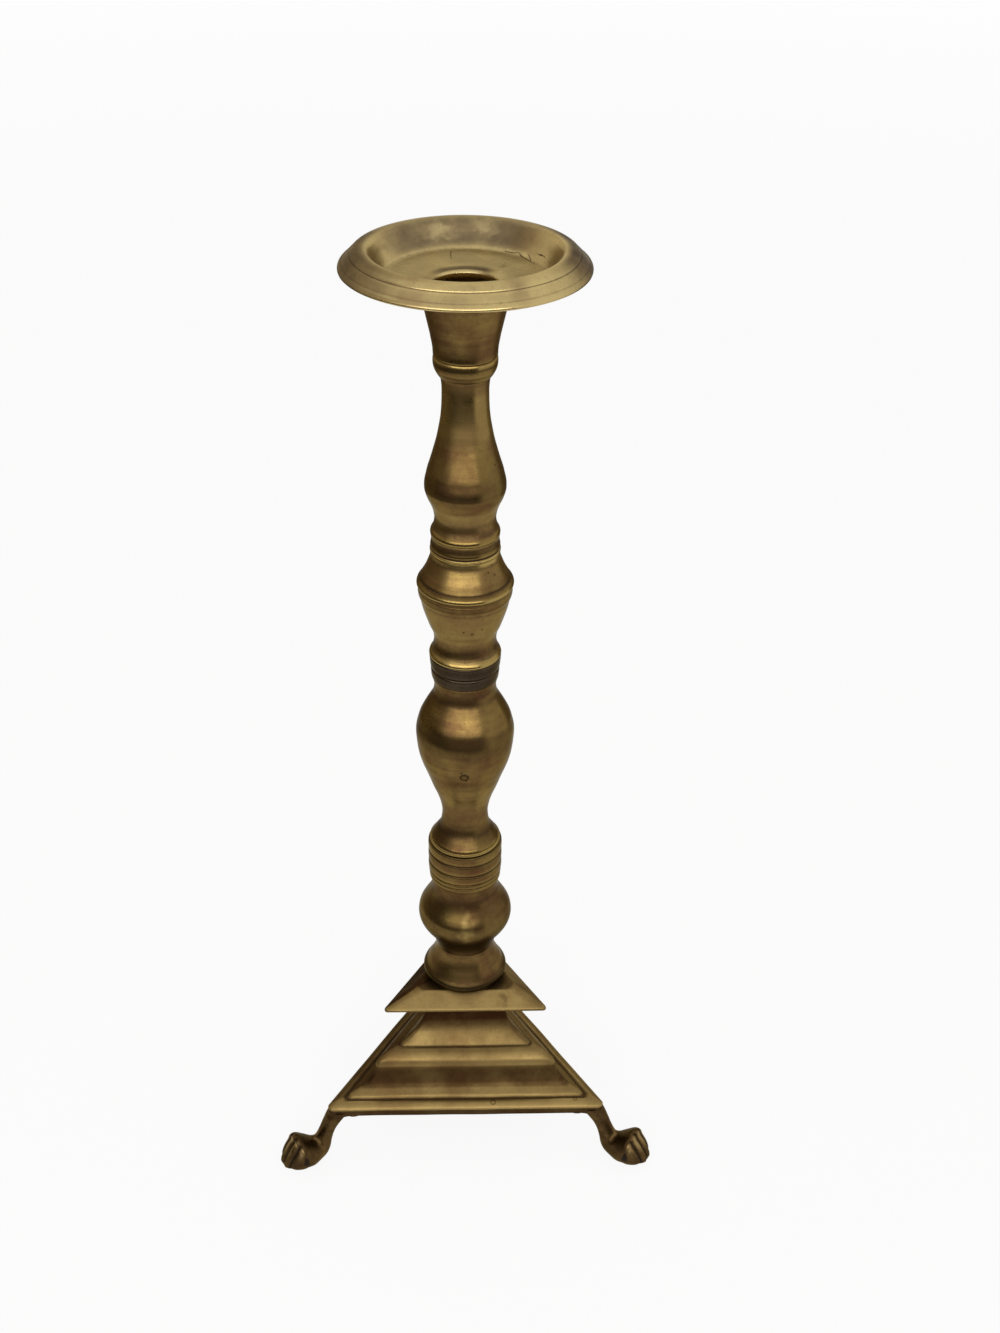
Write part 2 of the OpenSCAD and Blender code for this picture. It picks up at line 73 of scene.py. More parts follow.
def srgb(code: str) -> tuple[float, float, float, float]:
    """Turns an sRGB hex colour into linear light.

    Args:
        code: six hex digits, with or without a hash.

    Returns:
        The linear colour, with an alpha of 1.
    """
    digits = code.lstrip("#")
    parts = [int(digits[i:i + 2], 16) / 255 for i in (0, 2, 4)]
    line = [p / 12.92 if p <= 0.04045 else ((p + 0.055) / 1.055) ** 2.4 for p in parts]
    return line[0], line[1], line[2], 1.0


# ---- Outlines


def bend(a: Vector, b: Vector, c: Vector, d: Vector, t: float) -> Vector:
    """A point of the smooth curve from b to c, with a before it and d after it."""
    return b + t * ((c - a) + t * ((2 * a - 5 * b + 4 * c - d) + t * (3 * (b - c) + d - a))) / 2


def smooth(points: Sequence[Vector], steps: int) -> list[Vector]:
    """Runs a smooth curve through points.

    Args:
        points: what the curve passes through.
        steps: pieces between two of them.

    Returns:
        The points of the curve, with both ends.
    """
    if len(points) < 3:
        return [p.copy() for p in points]
    last = len(points) - 1
    curve = [
        bend(points[max(i - 1, 0)], points[i], points[i + 1], points[min(i + 2, last)], k / steps)
        for i in range(last) for k in range(steps)
    ]
    return [*curve, points[last].copy()]


def outline(runs: Iterable[Run], height: float, radius: float) -> list[Vector]:
    """Turns smooth stretches of shares into an outline.

    Args:
        runs: stretches of (share of the height, share of the radius).
        height: the piece's height.
        radius: the piece's radius.

    Returns:
        Points (radius, height) in millimetres.
    """
    path: list[Vector] = []
    for run in runs:
        path += smooth([Vector((r * radius, z * height)) for z, r in run], 8)
    return path


def resample(path: Sequence[Vector], pitch: float, rounds: int = 1) -> list[Vector]:
    """Spaces the points of a path evenly and takes the bite off its corners.

    Args:
        path: the path's points.
        pitch: the distance between two new points.
        rounds: how many times each inner point moves towards its neighbours.

    Returns:
        The new points, with both ends kept.
    """
    clean = [path[0]]
    for p in path[1:]:
        if (p - clean[-1]).length > 1e-6:
            clean.append(p)
    run = [0.0]
    for a, b in zip(clean, clean[1:]):
        run.append(run[-1] + (b - a).length)
    count = max(2, round(run[-1] / pitch))
    out: list[Vector] = []
    k = 0
    for i in range(count + 1):
        at = run[-1] * i / count
        while k < len(run) - 2 and run[k + 1] < at:
            k += 1
        out.append(clean[k].lerp(clean[k + 1], (at - run[k]) / (run[k + 1] - run[k])))
    for _ in range(rounds):
        middle = [p * 0.5 + (a + b) * 0.25 for a, p, b in zip(out, out[1:], out[2:])]
        out = [out[0], *middle, out[-1]]
    return out


def relief_of(path: Sequence[Vector], pitch: float, reach: float = 1.5,
              depth: float = 0.22) -> list[float]:
    """Tells how far each point of an outline stands out of its surroundings.

    Args:
        path: evenly spaced points, with the metal on their left.
        pitch: the distance between them.
        reach: how far along the outline the surroundings go.
        depth: the height that counts as 1.

    Returns:
        One value a point, from -1 in a groove to 1 on a ridge.
    """
    side = max(1, round(reach / pitch))
    last = len(path) - 1
    out = []
    for i, p in enumerate(path):
        near = [path[min(max(i + k, 0), last)] for k in range(-side, side + 1)]
        mean = sum(near, Vector((0.0, 0.0))) / len(near)
        along = (path[min(i + 1, last)] - path[max(i - 1, 0)]).normalized()
        out.append(max(-1.0, min(1.0, (p - mean).dot(Vector((along.y, -along.x))) / depth)))
    return out


def level(run: Run, at: float) -> float:
    """Reads a value between the points of a run.

    Args:
        run: points (place, value) in order of place.
        at: the place.

    Returns:
        The value there, or 0 for an empty run.
    """
    if not run:
        return 0.0
    for (a, low), (b, high) in zip(run, run[1:]):
        if at <= b:
            return low + (high - low) * max(0.0, at - a) / (b - a)
    return run[-1][1]


def ease(start: float, stop: float, at: float) -> float:
    """Rises smoothly from 0 at start to 1 at stop."""
    t = max(0.0, min(1.0, (at - start) / (stop - start)))
    return t * t * (3 - 2 * t)


# ---- Meshes


def linked(bm: BMesh, name: str, material: Material) -> bpy.types.Object:
    """Links a new object to the scene.

    Args:
        bm: its mesh, which is freed.
        name: its name.
        material: its finish.

    Returns:
        The object.
    """
    mesh = bpy.data.meshes.new(name)
    bm.to_mesh(mesh)
    bm.free()
    mesh.materials.append(material)
    piece = bpy.data.objects.new(name, mesh)
    bpy.context.scene.collection.objects.link(piece)
    return piece


def to_object(bm: BMesh, name: str, material: Material) -> bpy.types.Object:
    """Turns a bmesh in millimetres round the stem's axis into a smooth object in place.

    Args:
        bm: the mesh, which is freed.
        name: the object's name.
        material: its finish.

    Returns:
        The new object, linked to the scene.
    """
    bmesh.ops.remove_doubles(bm, verts=bm.verts, dist=SAME_POINT)
    bmesh.ops.recalc_face_normals(bm, faces=bm.faces)
    bmesh.ops.transform(bm, matrix=Matrix.Translation(STEM_AXIS) @ Matrix.Scale(MM, 4), verts=bm.verts)
    for face in bm.faces:
        face.smooth = True
    return linked(bm, name, material)


def adopt(piece: bpy.types.Object, body: str, slot: str, *nodes: str) -> bpy.types.Object:
    """Puts a piece on its body, in the place of its CAD nodes.

    Args:
        piece: the piece.
        body: the body that it rides on.
        slot: its material slot; not used.
        nodes: the CAD nodes that it replaces, if any.

    Returns:
        The same piece.
    """
    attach(piece, body)
    if nodes:
        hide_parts(*nodes)
    faces = sum(len(p.vertices) - 2 for p in piece.data.polygons)
    log.info("%s: %d triangles on %s", piece.name, faces, body)
    return piece


def spin(path: Sequence[Vector], relief_and_painted_shade: Sequence[float], wear_and_painted_light: Sequence[float],
         steps: int) -> BMesh:
    """Turns a closed outline round the stem's axis.

    Args:
        path: the outline's points (radius, height), in order, without the first one again.
        relief_and_painted_shade: how far each point stands out of its surroundings, or painted shade where it
            is given lower.
        wear_and_painted_light: the tone on each point, from -1 where it's rubbed or painted as a highlight to
            1 where it's filmed dark or painted as shade.
        steps: how many parts the full turn has.

    Returns:
        A closed mesh with relief and wear kept in its float layers of those names.
    """
    bm = bmesh.new()
    layers = [bm.verts.layers.float.new(name) for name in ("relief_and_painted_shade", "wear_and_painted_light")]
    verts = []
    for p, *values in zip(path, relief_and_painted_shade, wear_and_painted_light):
        vert = bm.verts.new((p.x, 0.0, p.y))
        for layer, value in zip(layers, values):
            vert[layer] = value
        verts.append(vert)
    edges = [bm.edges.new(pair) for pair in zip(verts, [*verts[1:], verts[0]])]
    bmesh.ops.spin(
        bm, geom=[*verts, *edges], cent=(0, 0, 0), axis=(0, 0, 1), dvec=(0, 0, 0),
        angle=2 * math.pi, steps=steps, use_merge=True, use_duplicate=False)
    return bm


def loft(rings: Sequence[Sequence[Vector]], relief_and_painted_shade: Sequence[float], wear_and_painted_light: Sequence[float],
         closed: bool) -> BMesh:
    """Draws a skin over rings that all have the same number of points.

    Args:
        rings: the rings, in order.
        relief_and_painted_shade: how far each ring stands out of its surroundings, or painted shade where it
            is given lower.
        wear_and_painted_light: the tone on each ring, from -1 where it's rubbed or painted as a highlight to
            1 where it's filmed dark or painted as shade.
        closed: whether the last ring joins the first one; otherwise both ends are filled.

    Returns:
        A closed mesh with relief and wear kept in its float layers of those names.
    """
    bm = bmesh.new()
    high = bm.verts.layers.float.new("relief_and_painted_shade")
    film_and_painted_shade = bm.verts.layers.float.new("wear_and_painted_light")
    order = bm.verts.layers.int.new("order")
    count = len(rings[0])
    made = bmesh.ops.create_circle(bm, segments=count, radius=1)["verts"]
    for k, vert in enumerate(made):
        vert.co, vert[order], vert[high], vert[film_and_painted_shade] = rings[0][k], k, relief_and_painted_shade[0], wear_and_painted_light[0]
    first = list(dict.fromkeys(edge for vert in made for edge in vert.link_edges))
    edges = first
    for ring, value, coat in zip(rings[1:], relief_and_painted_shade[1:], wear_and_painted_light[1:]):
        grown = bmesh.ops.extrude_edge_only(bm, edges=edges)["geom"]
        for item in grown:
            if isinstance(item, BMVert):
                item.co, item[high], item[film_and_painted_shade] = ring[item[order]], value, coat
        ends = {item for item in grown if isinstance(item, BMVert)}
        edges = [e for e in grown if isinstance(e, BMEdge) and set(e.verts) <= ends]
    if closed:
        bmesh.ops.bridge_loops(bm, edges=[*first, *edges])
    else:
        bmesh.ops.holes_fill(bm, edges=[*first, *edges], sides=count)
    return bm


def waver(bm: BMesh, amount: float, size: float, seed: float, flat: bool = True,
          above: float = -99.0) -> None:
    """Moves a mesh's points slightly in and out, as hand finishing leaves them.

    Args:
        bm: the mesh.
        amount: the most that a point moves.
        size: width of a hollow or swelling.
        seed: where in the noise the piece lies.
        flat: whether heights stay as they are.
        above: the height up to which nothing moves; the full amount comes 6 mm above it.
    """
    for vert in bm.verts:
        shift = noise.noise_vector(vert.co / size + Vector((seed, seed, seed)))
        shift *= amount * ease(above, above + 6.0, vert.co.z)
        vert.co += Vector((shift.x, shift.y, 0.0 if flat else shift.z))


# ---- Finishes


def cleared(owner: bpy.types.Material | bpy.types.World) -> Tree:
    """Turns on the nodes of a material or world and takes the first ones out.

    Args:
        owner: the material or world.

    Returns:
        Its empty node tree.
    """
    owner.use_nodes = True
    owner.node_tree.nodes.clear()
    return owner.node_tree


def add(tree: Tree, kind: str, links: dict | None = None, out: int | str = 0,
        **settings: object) -> Socket | None:
    """Adds a shader node to a tree.

    Args:
        tree: the node tree.
        kind: the node's type, without the word that starts every shader node's type.
        links: values or output sockets for its inputs, by name or number.
        out: which of its outputs is wanted.
        settings: the node's own properties.

    Returns:
        That output, or None for a node that has no outputs.
    """
    node = tree.nodes.new("ShaderNode" + kind)
    for key, value in settings.items():
        setattr(node, key, value)
    for key, value in (links or {}).items():
        if isinstance(value, bpy.types.NodeSocket):
            tree.links.new(value, node.inputs[key])
        else:
            node.inputs[key].default_value = value
    return node.outputs[out] if node.outputs else None


class MarkKind(Enum):
    """What a mark on the metal is."""

    PIT = "pit"
    RING = "ring"
    CRACK = "crack"
    STAIN = "stain"
    # A painted highlight or sheen, not a flaw
    PAINTED_SHEEN = "rub"


PIT, RING, CRACK, STAIN, PAINTED_SHEEN = MarkKind


@dataclass(frozen=True)
class Mark:
    """A single flaw or patch of painted sheen: its kind, its middle from the stem's axis, its size and its
    turn.
    """

    kind: MarkKind
    at: Triple
    size: float
    width: float = 0.5
    turn: float = 0.0
    depth: float = 0.6


@dataclass(frozen=True)
class AgedBrass:
    """Cast and turned brass, never lacquered, browned by the air and rubbed by hands.

    Rubbed metal is yellow and glossy, the brown coat on it is duller, and the grooves hold darker deposits.
    Painted light rides on the same tones: bands and patches of painted reflection, shade and highlight, and
    painted shade deep in hollows. All sizes of patterns are millimetres.
    """

    name: str
    slot: str
    rubbed: str
    brown: str
    dirt_and_painted_shade: str
    blush: str
    film_and_painted_shade: str
    bright_and_painted_highlight: str
    edge: str = "#cfcabd"
    grime_and_painted_shade: float = 0.95
    grain: float = 0.4
    rub_share: float = 0.5
    contrast: float = 0.28
    cloud: float = 14.0
    streak: float = 1.6
    gloss: float = 0.2
    dull: float = 0.34
    speck: float = 1.6
    dent: float = 9.0
    drift: float = 4.5
    flat_streak: float = 0.045
    dirt_and_painted_shade_zone: Pair = (-0.75, -0.08)
    metal_under_dirt_and_painted_shade: float = 0.7
    bump: Pair = (0.4, 0.2)
    marks: tuple[Mark, ...] = ()

    def material(self) -> Material:
        """Makes the node material of this finish.

        Returns:
            The material, named after the finish.
        """
        mat = bpy.data.materials.new(self.name)
        tree = cleared(mat)
        where = add(tree, "TexCoord", out="Object")
        here = add(tree, "Mapping", {"Vector": where, "Location": tuple(-STEM_AXIS)})
        # Lathe lines: a noise that is long round the axis and short along it
        lying = add(tree, "Mapping", {"Vector": here, "Scale": (self.flat_streak, self.flat_streak, 1.0)})
        # The wear attribute is real wear on the feet and painted light elsewhere: bands and patches of
        # painted reflection, shade and highlight
        relief_and_painted_shade, wear_and_painted_light = (add(tree, "Attribute", out="Fac", attribute_name=name) for name in ("relief_and_painted_shade", "wear_and_painted_light"))
        cloud, streak, speck, blush, swell = (
            add(tree, "TexNoise", {
                "Vector": place, "Scale": 1 / (size * MM), "Detail": detail, "Roughness": rough}, out)
            for place, size, detail, rough, out in (
                (here, self.cloud, 5.0, 0.62, "Fac"), (lying, self.streak, 4.0, 0.6, "Fac"),
                (here, self.speck, 3.0, 0.7, "Fac"), (here, self.cloud * 1.7, 3.0, 0.5, "Color"),
                (here, self.dent, 2.0, 0.5, "Fac")))

        # Rubbed metal shows where it stands out, along the lathe lines and in light clouds
        clouded = cloud
        for value in (streak, relief_and_painted_shade):
            clouded = add(tree, "Math", {0: value, 1: 0.3, 2: clouded}, operation="MULTIPLY_ADD")
        middle = 0.65 + (0.5 - self.rub_share) * 0.5
        # The dirt tone gathers where the relief attribute is low: real grime in the grooves, and painted
        # shade where low values are given on purpose, on the base's lip face, down the candle bore and in the
        # hollows
        low = add(tree, "Math", {0: speck, 1: -0.35, 2: 0.18}, operation="MULTIPLY_ADD")
        deep = add(tree, "Math", {0: low, 1: relief_and_painted_shade}, operation="ADD")
        rub, patch, dirt_and_painted_shade = (
            add(tree, "MapRange", {
                "Value": value, "From Min": start, "From Max": stop, "To Min": first, "To Max": last},
                interpolation_type="SMOOTHSTEP")
            for value, start, stop, first, last in (
                (clouded, middle - self.contrast, middle + self.contrast, 0.0, 1.0),
                (blush, 0.5, 0.68, 0.0, 0.55), (deep, *self.dirt_and_painted_shade_zone, self.grime_and_painted_shade, 0.0)))
        # The wear attribute's dark side, the air's film and painted shade, is thinner where the clouds are
        # light
        film_and_painted_shade = add(tree, "MapRange", {
            "Value": cloud, "From Min": 0.3, "From Max": 0.7, "To Min": 1.1, "To Max": 0.85})
        film_and_painted_shade, shine_and_painted_highlight = (
            add(tree, "Math", {0: wear_and_painted_light, 1: gain}, operation="MULTIPLY", use_clamp=True)
            for gain in (film_and_painted_shade, -1.0))
        grain = add(tree, "MapRange", {
            "Value": speck, "From Min": 0.56, "From Max": 0.72, "To Max": self.grain})
        # The shine tone paints rubbed metal and painted highlights, the film tone real film and painted
        # shade, the dirt tone grime and painted shade
        tint = srgb(self.brown)
        for share, tone in (
                (rub, self.rubbed), (patch, self.blush), (shine_and_painted_highlight, self.bright_and_painted_highlight), (film_and_painted_shade, self.film_and_painted_shade),
                (dirt_and_painted_shade, self.dirt_and_painted_shade), (grain, self.dirt_and_painted_shade)):
            tint = add(tree, "Mix", {0: share, 6: tint, 7: srgb(tone)}, 2, data_type="RGBA")

        height = swell
        for value, gain in ((streak, 0.35), (speck, -0.05)):
            height = add(tree, "Math", {0: value, 1: gain, 2: height}, operation="MULTIPLY_ADD")
        tint, height = self.mark(tree, here, tint, height)
        rough = add(tree, "MapRange", {"Value": rub, "To Min": self.dull, "To Max": self.gloss})
        for value, gain in ((speck, 0.08), (dirt_and_painted_shade, 0.25), (film_and_painted_shade, 0.12)):
            rough = add(tree, "Math", {0: value, 1: gain, 2: rough}, operation="MULTIPLY_ADD")
        metal = add(tree, "MapRange", {"Value": dirt_and_painted_shade, "To Min": 1.0, "To Max": self.metal_under_dirt_and_painted_shade})
        strength, deepest = self.bump
        bump = add(tree, "Bump", {"Strength": strength, "Distance": deepest * MM, "Height": height})
        skin = add(tree, "BsdfPrincipled", {
            "Base Color": tint, "Roughness": rough, "Metallic": metal, "Normal": bump,
            "Specular Tint": srgb(self.edge)})
        add(tree, "OutputMaterial", {"Surface": skin})
        return mat

    def mark(self, tree: Tree, here: Socket, tint: Socket, height: Socket) -> tuple[Socket, Socket]:
        """Draws the finish's marks: flaws, and patches of painted sheen.

        Args:
            tree: the node tree.
            here: the place on the piece, from the stem's axis.
            tint: the colour so far.
            height: the height for the bump so far.

        Returns:
            The new colour and height.
        """
        # No scratch is straight and no stain is round, so the place wanders a little
        drift = add(tree, "TexNoise", {
            "Vector": here, "Scale": 1 / (self.drift * MM), "Detail": 2.0}, "Color")
        drift = add(tree, "VectorMath", {0: drift, 1: (0.5, 0.5, 0.5)}, operation="SUBTRACT")
        near, far = (
            add(tree, "VectorMath", {0: drift, 1: (gain * MM,) * 3, 2: here}, operation="MULTIPLY_ADD")
            for gain in (2.4, 9.0))
        for mark in self.marks:
            soft = mark.kind in (STAIN, PAINTED_SHEEN)
            place = far if soft else near if mark.kind is CRACK else here
            local = add(tree, "Mapping", {
                "Vector": place, "Location": tuple(c * MM for c in mark.at),
                "Rotation": (0.0, 0.0, math.radians(mark.turn))}, vector_type="TEXTURE")
            if mark.kind in (CRACK, PAINTED_SHEEN):
                local = add(tree, "Mapping", {"Vector": local, "Scale": (1.0, mark.size / mark.width, 0.4)})
            away = add(tree, "VectorMath", {0: local}, "Value", operation="LENGTH")
            edge = mark.size * MM
            if mark.kind is RING:
                edge = mark.width * MM
                away = add(tree, "Math", {0: away, 1: mark.size * MM - edge}, operation="SUBTRACT")
                away = add(tree, "Math", {0: away}, operation="ABSOLUTE")
            shown = add(tree, "MapRange", {
                "Value": away, "From Min": 0.0 if soft else edge * 0.45, "From Max": edge,
                "To Min": mark.depth, "To Max": 0.0}, interpolation_type="SMOOTHSTEP")
            # A sheen mark paints a highlight in the bright tone, a flaw sits dark in the dirt tone
            tone = srgb(self.bright_and_painted_highlight if mark.kind is PAINTED_SHEEN else self.dirt_and_painted_shade)
            tint = add(tree, "Mix", {0: shown, 6: tint, 7: tone}, 2, data_type="RGBA")
            if not soft:
                height = add(tree, "Math", {0: shown, 1: -0.9, 2: height}, operation="MULTIPLY_ADD")
        return tint, height


@dataclass(frozen=True)
class DullSteel:
    """Mild steel of the rod and its fasteners: grey, brushed by tools and rusted in spots."""

    name: str
    slot: str
    steel: str
    rust: str
    spot: float = 3.0

    def material(self) -> Material:
        """Makes the node material of this finish.

        Returns:
            The material, named after the finish.
        """
        mat = bpy.data.materials.new(self.name)
        tree = cleared(mat)
        spots = add(tree, "TexNoise", {
            "Vector": add(tree, "TexCoord", out="Object"), "Scale": 1 / (self.spot * MM), "Detail": 6.0,
            "Roughness": 0.7}, "Fac")
        rust = add(tree, "MapRange", {
            "Value": spots, "From Min": 0.5, "From Max": 0.62}, interpolation_type="SMOOTHSTEP")
        tint = add(tree, "Mix", {0: rust, 6: srgb(self.steel), 7: srgb(self.rust)}, 2, data_type="RGBA")
        rough, metal = (
            add(tree, "MapRange", {"Value": rust, "To Min": bare, "To Max": rusted})
            for bare, rusted in ((0.36, 0.85), (1.0, 0.2)))
        bump = add(tree, "Bump", {"Strength": 0.5, "Distance": 0.1 * MM, "Height": spots})
        skin = add(tree, "BsdfPrincipled", {
            "Base Color": tint, "Roughness": rough, "Metallic": metal, "Normal": bump})
        add(tree, "OutputMaterial", {"Surface": skin})
        return mat


# Turned, then browned by a century of air: dark brown with soft golden highlights. Its brown is partly
# browning and partly painted darker reflection, for the dark surroundings that the upright stem mirrors
STEM_BRASS = AgedBrass(
    "brass_browned_and_painted_darker", "stem_brass",
    rubbed="#7d6739", brown="#5a4029", dirt_and_painted_shade="#20170d", blush="#573823",
    film_and_painted_shade="#2b2013", bright_and_painted_highlight="#b39a5c", gloss=0.2, dull=0.33, grain=0.25,
    marks=(Mark(PIT, (-1.9, -20.4, 215.0), 0.9), Mark(RING, (-0.6, -20.0, 212.2), 2.3, 0.6, depth=0.75),
           Mark(STAIN, (-0.6, -20.2, 212.0), 3.0, depth=0.4),
           # A painted highlight on the front of the ball
           Mark(PAINTED_SHEEN, (0.5, -21.5, 128.0), 5.6, 5.6, depth=0.5),
           Mark(PIT, (0.2, -19.8, 210.0), 0.8), Mark(PIT, (9.9, -16.8, 208.5), 0.5),
           Mark(STAIN, (8.6, -12.8, 309.6), 1.9, depth=0.5), Mark(PIT, (9.4, -12.2, 310.4), 0.7),
           Mark(PIT, (11.8, -10.6, 308.6), 0.9, depth=0.5), Mark(PIT, (11.7, -7.4, 356.9), 0.8),
           Mark(PIT, (-0.9, -16.9, 284.4), 0.8, depth=0.6),
           Mark(PIT, (2.7, -16.3, 283.2), 1.0, depth=0.6),
           Mark(PIT, (6.9, -15.7, 285.2), 0.7, depth=0.6)))
# Turned thin and polished by hands: pale gold with a soft sheen and hairline cracks. Its pale gold is partly
# polish and partly painted light, for the bright surroundings that the bowl mirrors
PAN_BRASS = AgedBrass(
    "brass_hand_rubbed_and_painted_paler", "pan_brass",
    rubbed="#bfa973", brown="#9f8a61", dirt_and_painted_shade="#3a2c1e", blush="#8d7150",
    film_and_painted_shade="#4f4136", bright_and_painted_highlight="#d0bb85", rub_share=0.6, grime_and_painted_shade=0.6, grain=0.2,
    marks=(Mark(CRACK, (23.9, 16.9, 433.6), 9.5, 0.28, turn=-60.2, depth=0.85),
           Mark(CRACK, (29.2, 14.2, 435.5), 4.8, 0.26, turn=-65.3, depth=0.8),
           Mark(CRACK, (18.5, 24.0, 433.5), 5.8, 0.24, turn=-35.8, depth=0.7),
           Mark(CRACK, (24.8, 17.6, 433.4), 3.4, 0.24, turn=-80.0, depth=0.7),
           Mark(CRACK, (-5.2, 24.7, 432.3), 5.3, 0.24, turn=90.0, depth=0.6),
           Mark(CRACK, (42.6, -8.4, 441.4), 3.4, 0.26, turn=-71.6, depth=0.9),
           Mark(STAIN, (15.0, 14.0, 431.8), 4.0, depth=0.3),
           # Two patches of painted sheen: the streaky highlights on the bowl's back wall
           Mark(PAINTED_SHEEN, (-10.0, 33.0, 438.0), 10.0, 3.0, turn=14.0, depth=0.4),
           Mark(PAINTED_SHEEN, (8.0, 34.0, 435.0), 9.0, 2.4, turn=-12.0, depth=0.3)))
# Cast, filed flat and waxed: even old gold that is dull in the hollows. Its old gold is partly the metal's
# own and partly painted light, for the bright surroundings that the sloping faces mirror
BASE_BRASS = AgedBrass(
    "brass_cast_waxed_and_painted_paler", "base_brass",
    rubbed="#98804f", brown="#7c653d", dirt_and_painted_shade="#33220f", blush="#6b4e2e",
    film_and_painted_shade="#3a2413", bright_and_painted_highlight="#b59a63", rub_share=0.6, streak=2.4, gloss=0.34, dull=0.48, grime_and_painted_shade=0.7, grain=0.22,
    marks=(Mark(RING, (13.3, -37.3, 30.0), 1.6, 0.4, depth=0.6),
           Mark(RING, (53.3, -36.3, 30.3), 1.2, 0.4, depth=0.5),
           Mark(STAIN, (18.6, -18.6, 80.6), 3.6, depth=0.45),
           Mark(STAIN, (19.4, -21.5, 77.6), 3.0, depth=0.4)))
# Cast and chased: dark in the hollows, with gold left on the toes
FOOT_BRASS = AgedBrass(
    "brass_cast_and_chased", "foot_brass", rubbed="#6f5734", brown="#46351f", dirt_and_painted_shade="#1c130c", blush="#432e1c",
    film_and_painted_shade="#2f2114", bright_and_painted_highlight="#a88d60", rub_share=0.4, cloud=8.0)
# Sand cast and never rubbed: nearly black brown, partly tarnish and partly painted dark reflection on the
# joint's upright sides
JOINT_BRASS = AgedBrass(
    "brass_tarnished_and_painted_dark", "tarnished_brass", rubbed="#463a2d", brown="#30271c", dirt_and_painted_shade="#14100c",
    blush="#2a1c14", film_and_painted_shade="#1c150e", bright_and_painted_highlight="#6b5433", rub_share=0.4)
# Drawn mild steel, left bare inside the base: grey with rust
STEEL = DullSteel("mild_steel_drawn_and_rusted", "steel", steel="#5c5853", rust="#4a2f1d")


# ---- The stem


@dataclass
class Turning:
    """One piece off the lathe: its node, height, radius, outline, and its bands of painted reflection, shade
    and highlight.
    """

    node: str
    height: float
    radius: float
    runs: Sequence[Run]
    wear_and_painted_light: Run = ()
    pitch: float = 0.4
    finish: AgedBrass = STEM_BRASS
    core: float = 6.0
    steps: int = 160
    waver: Pair = (0.06, 16.0)

    def build(self, material: Material) -> bpy.types.Object:
        """Turns the piece, hollow down its middle.

        Args:
            material: its finish.

        Returns:
            The object.
        """
        skin = resample(outline(self.runs, self.height, self.radius), self.pitch)
        relief_and_painted_shade = relief_of(skin, self.pitch)
        wear_and_painted_light = [level(self.wear_and_painted_light, p.y / self.height) for p in skin]
        core = [Vector((self.core, self.height)), Vector((self.core, 0.0))]
        bm = spin([*skin, *core], [*relief_and_painted_shade, 0.0, 0.0], [*wear_and_painted_light, 0.0, 0.0], self.steps)
        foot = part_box(self.node)[0].z / MM
        bmesh.ops.translate(bm, verts=bm.verts, vec=(0, 0, foot))
        waver(bm, *self.waver, seed=self.height)
        return to_object(bm, f"{self.node}_turned", material)


def ribs(edges: Sequence[float], wide: Sequence[float], round_share: float, groove: float) -> list[Run]:
    """Outlines of rounded ribs between edges, all in shares.

    Args:
        edges: where the grooves lie, as shares of the height.
        wide: each rib's share of the radius.
        round_share: share of a rib's height that each rounded edge takes.
        groove: depth of the grooves, as a share of the radius.

    Returns:
        One smooth stretch a rib.
    """
    made: list[Run] = []
    for a, b, r in zip(edges, edges[1:], wide):
        e, low, near = (b - a) * round_share, r - groove, r - groove / 4
        made.append([
            (a, low), (a + e / 2, near), (a + 2 * e, r), (b - 2 * e, r), (b - e / 2, near), (b, low)])
    return made
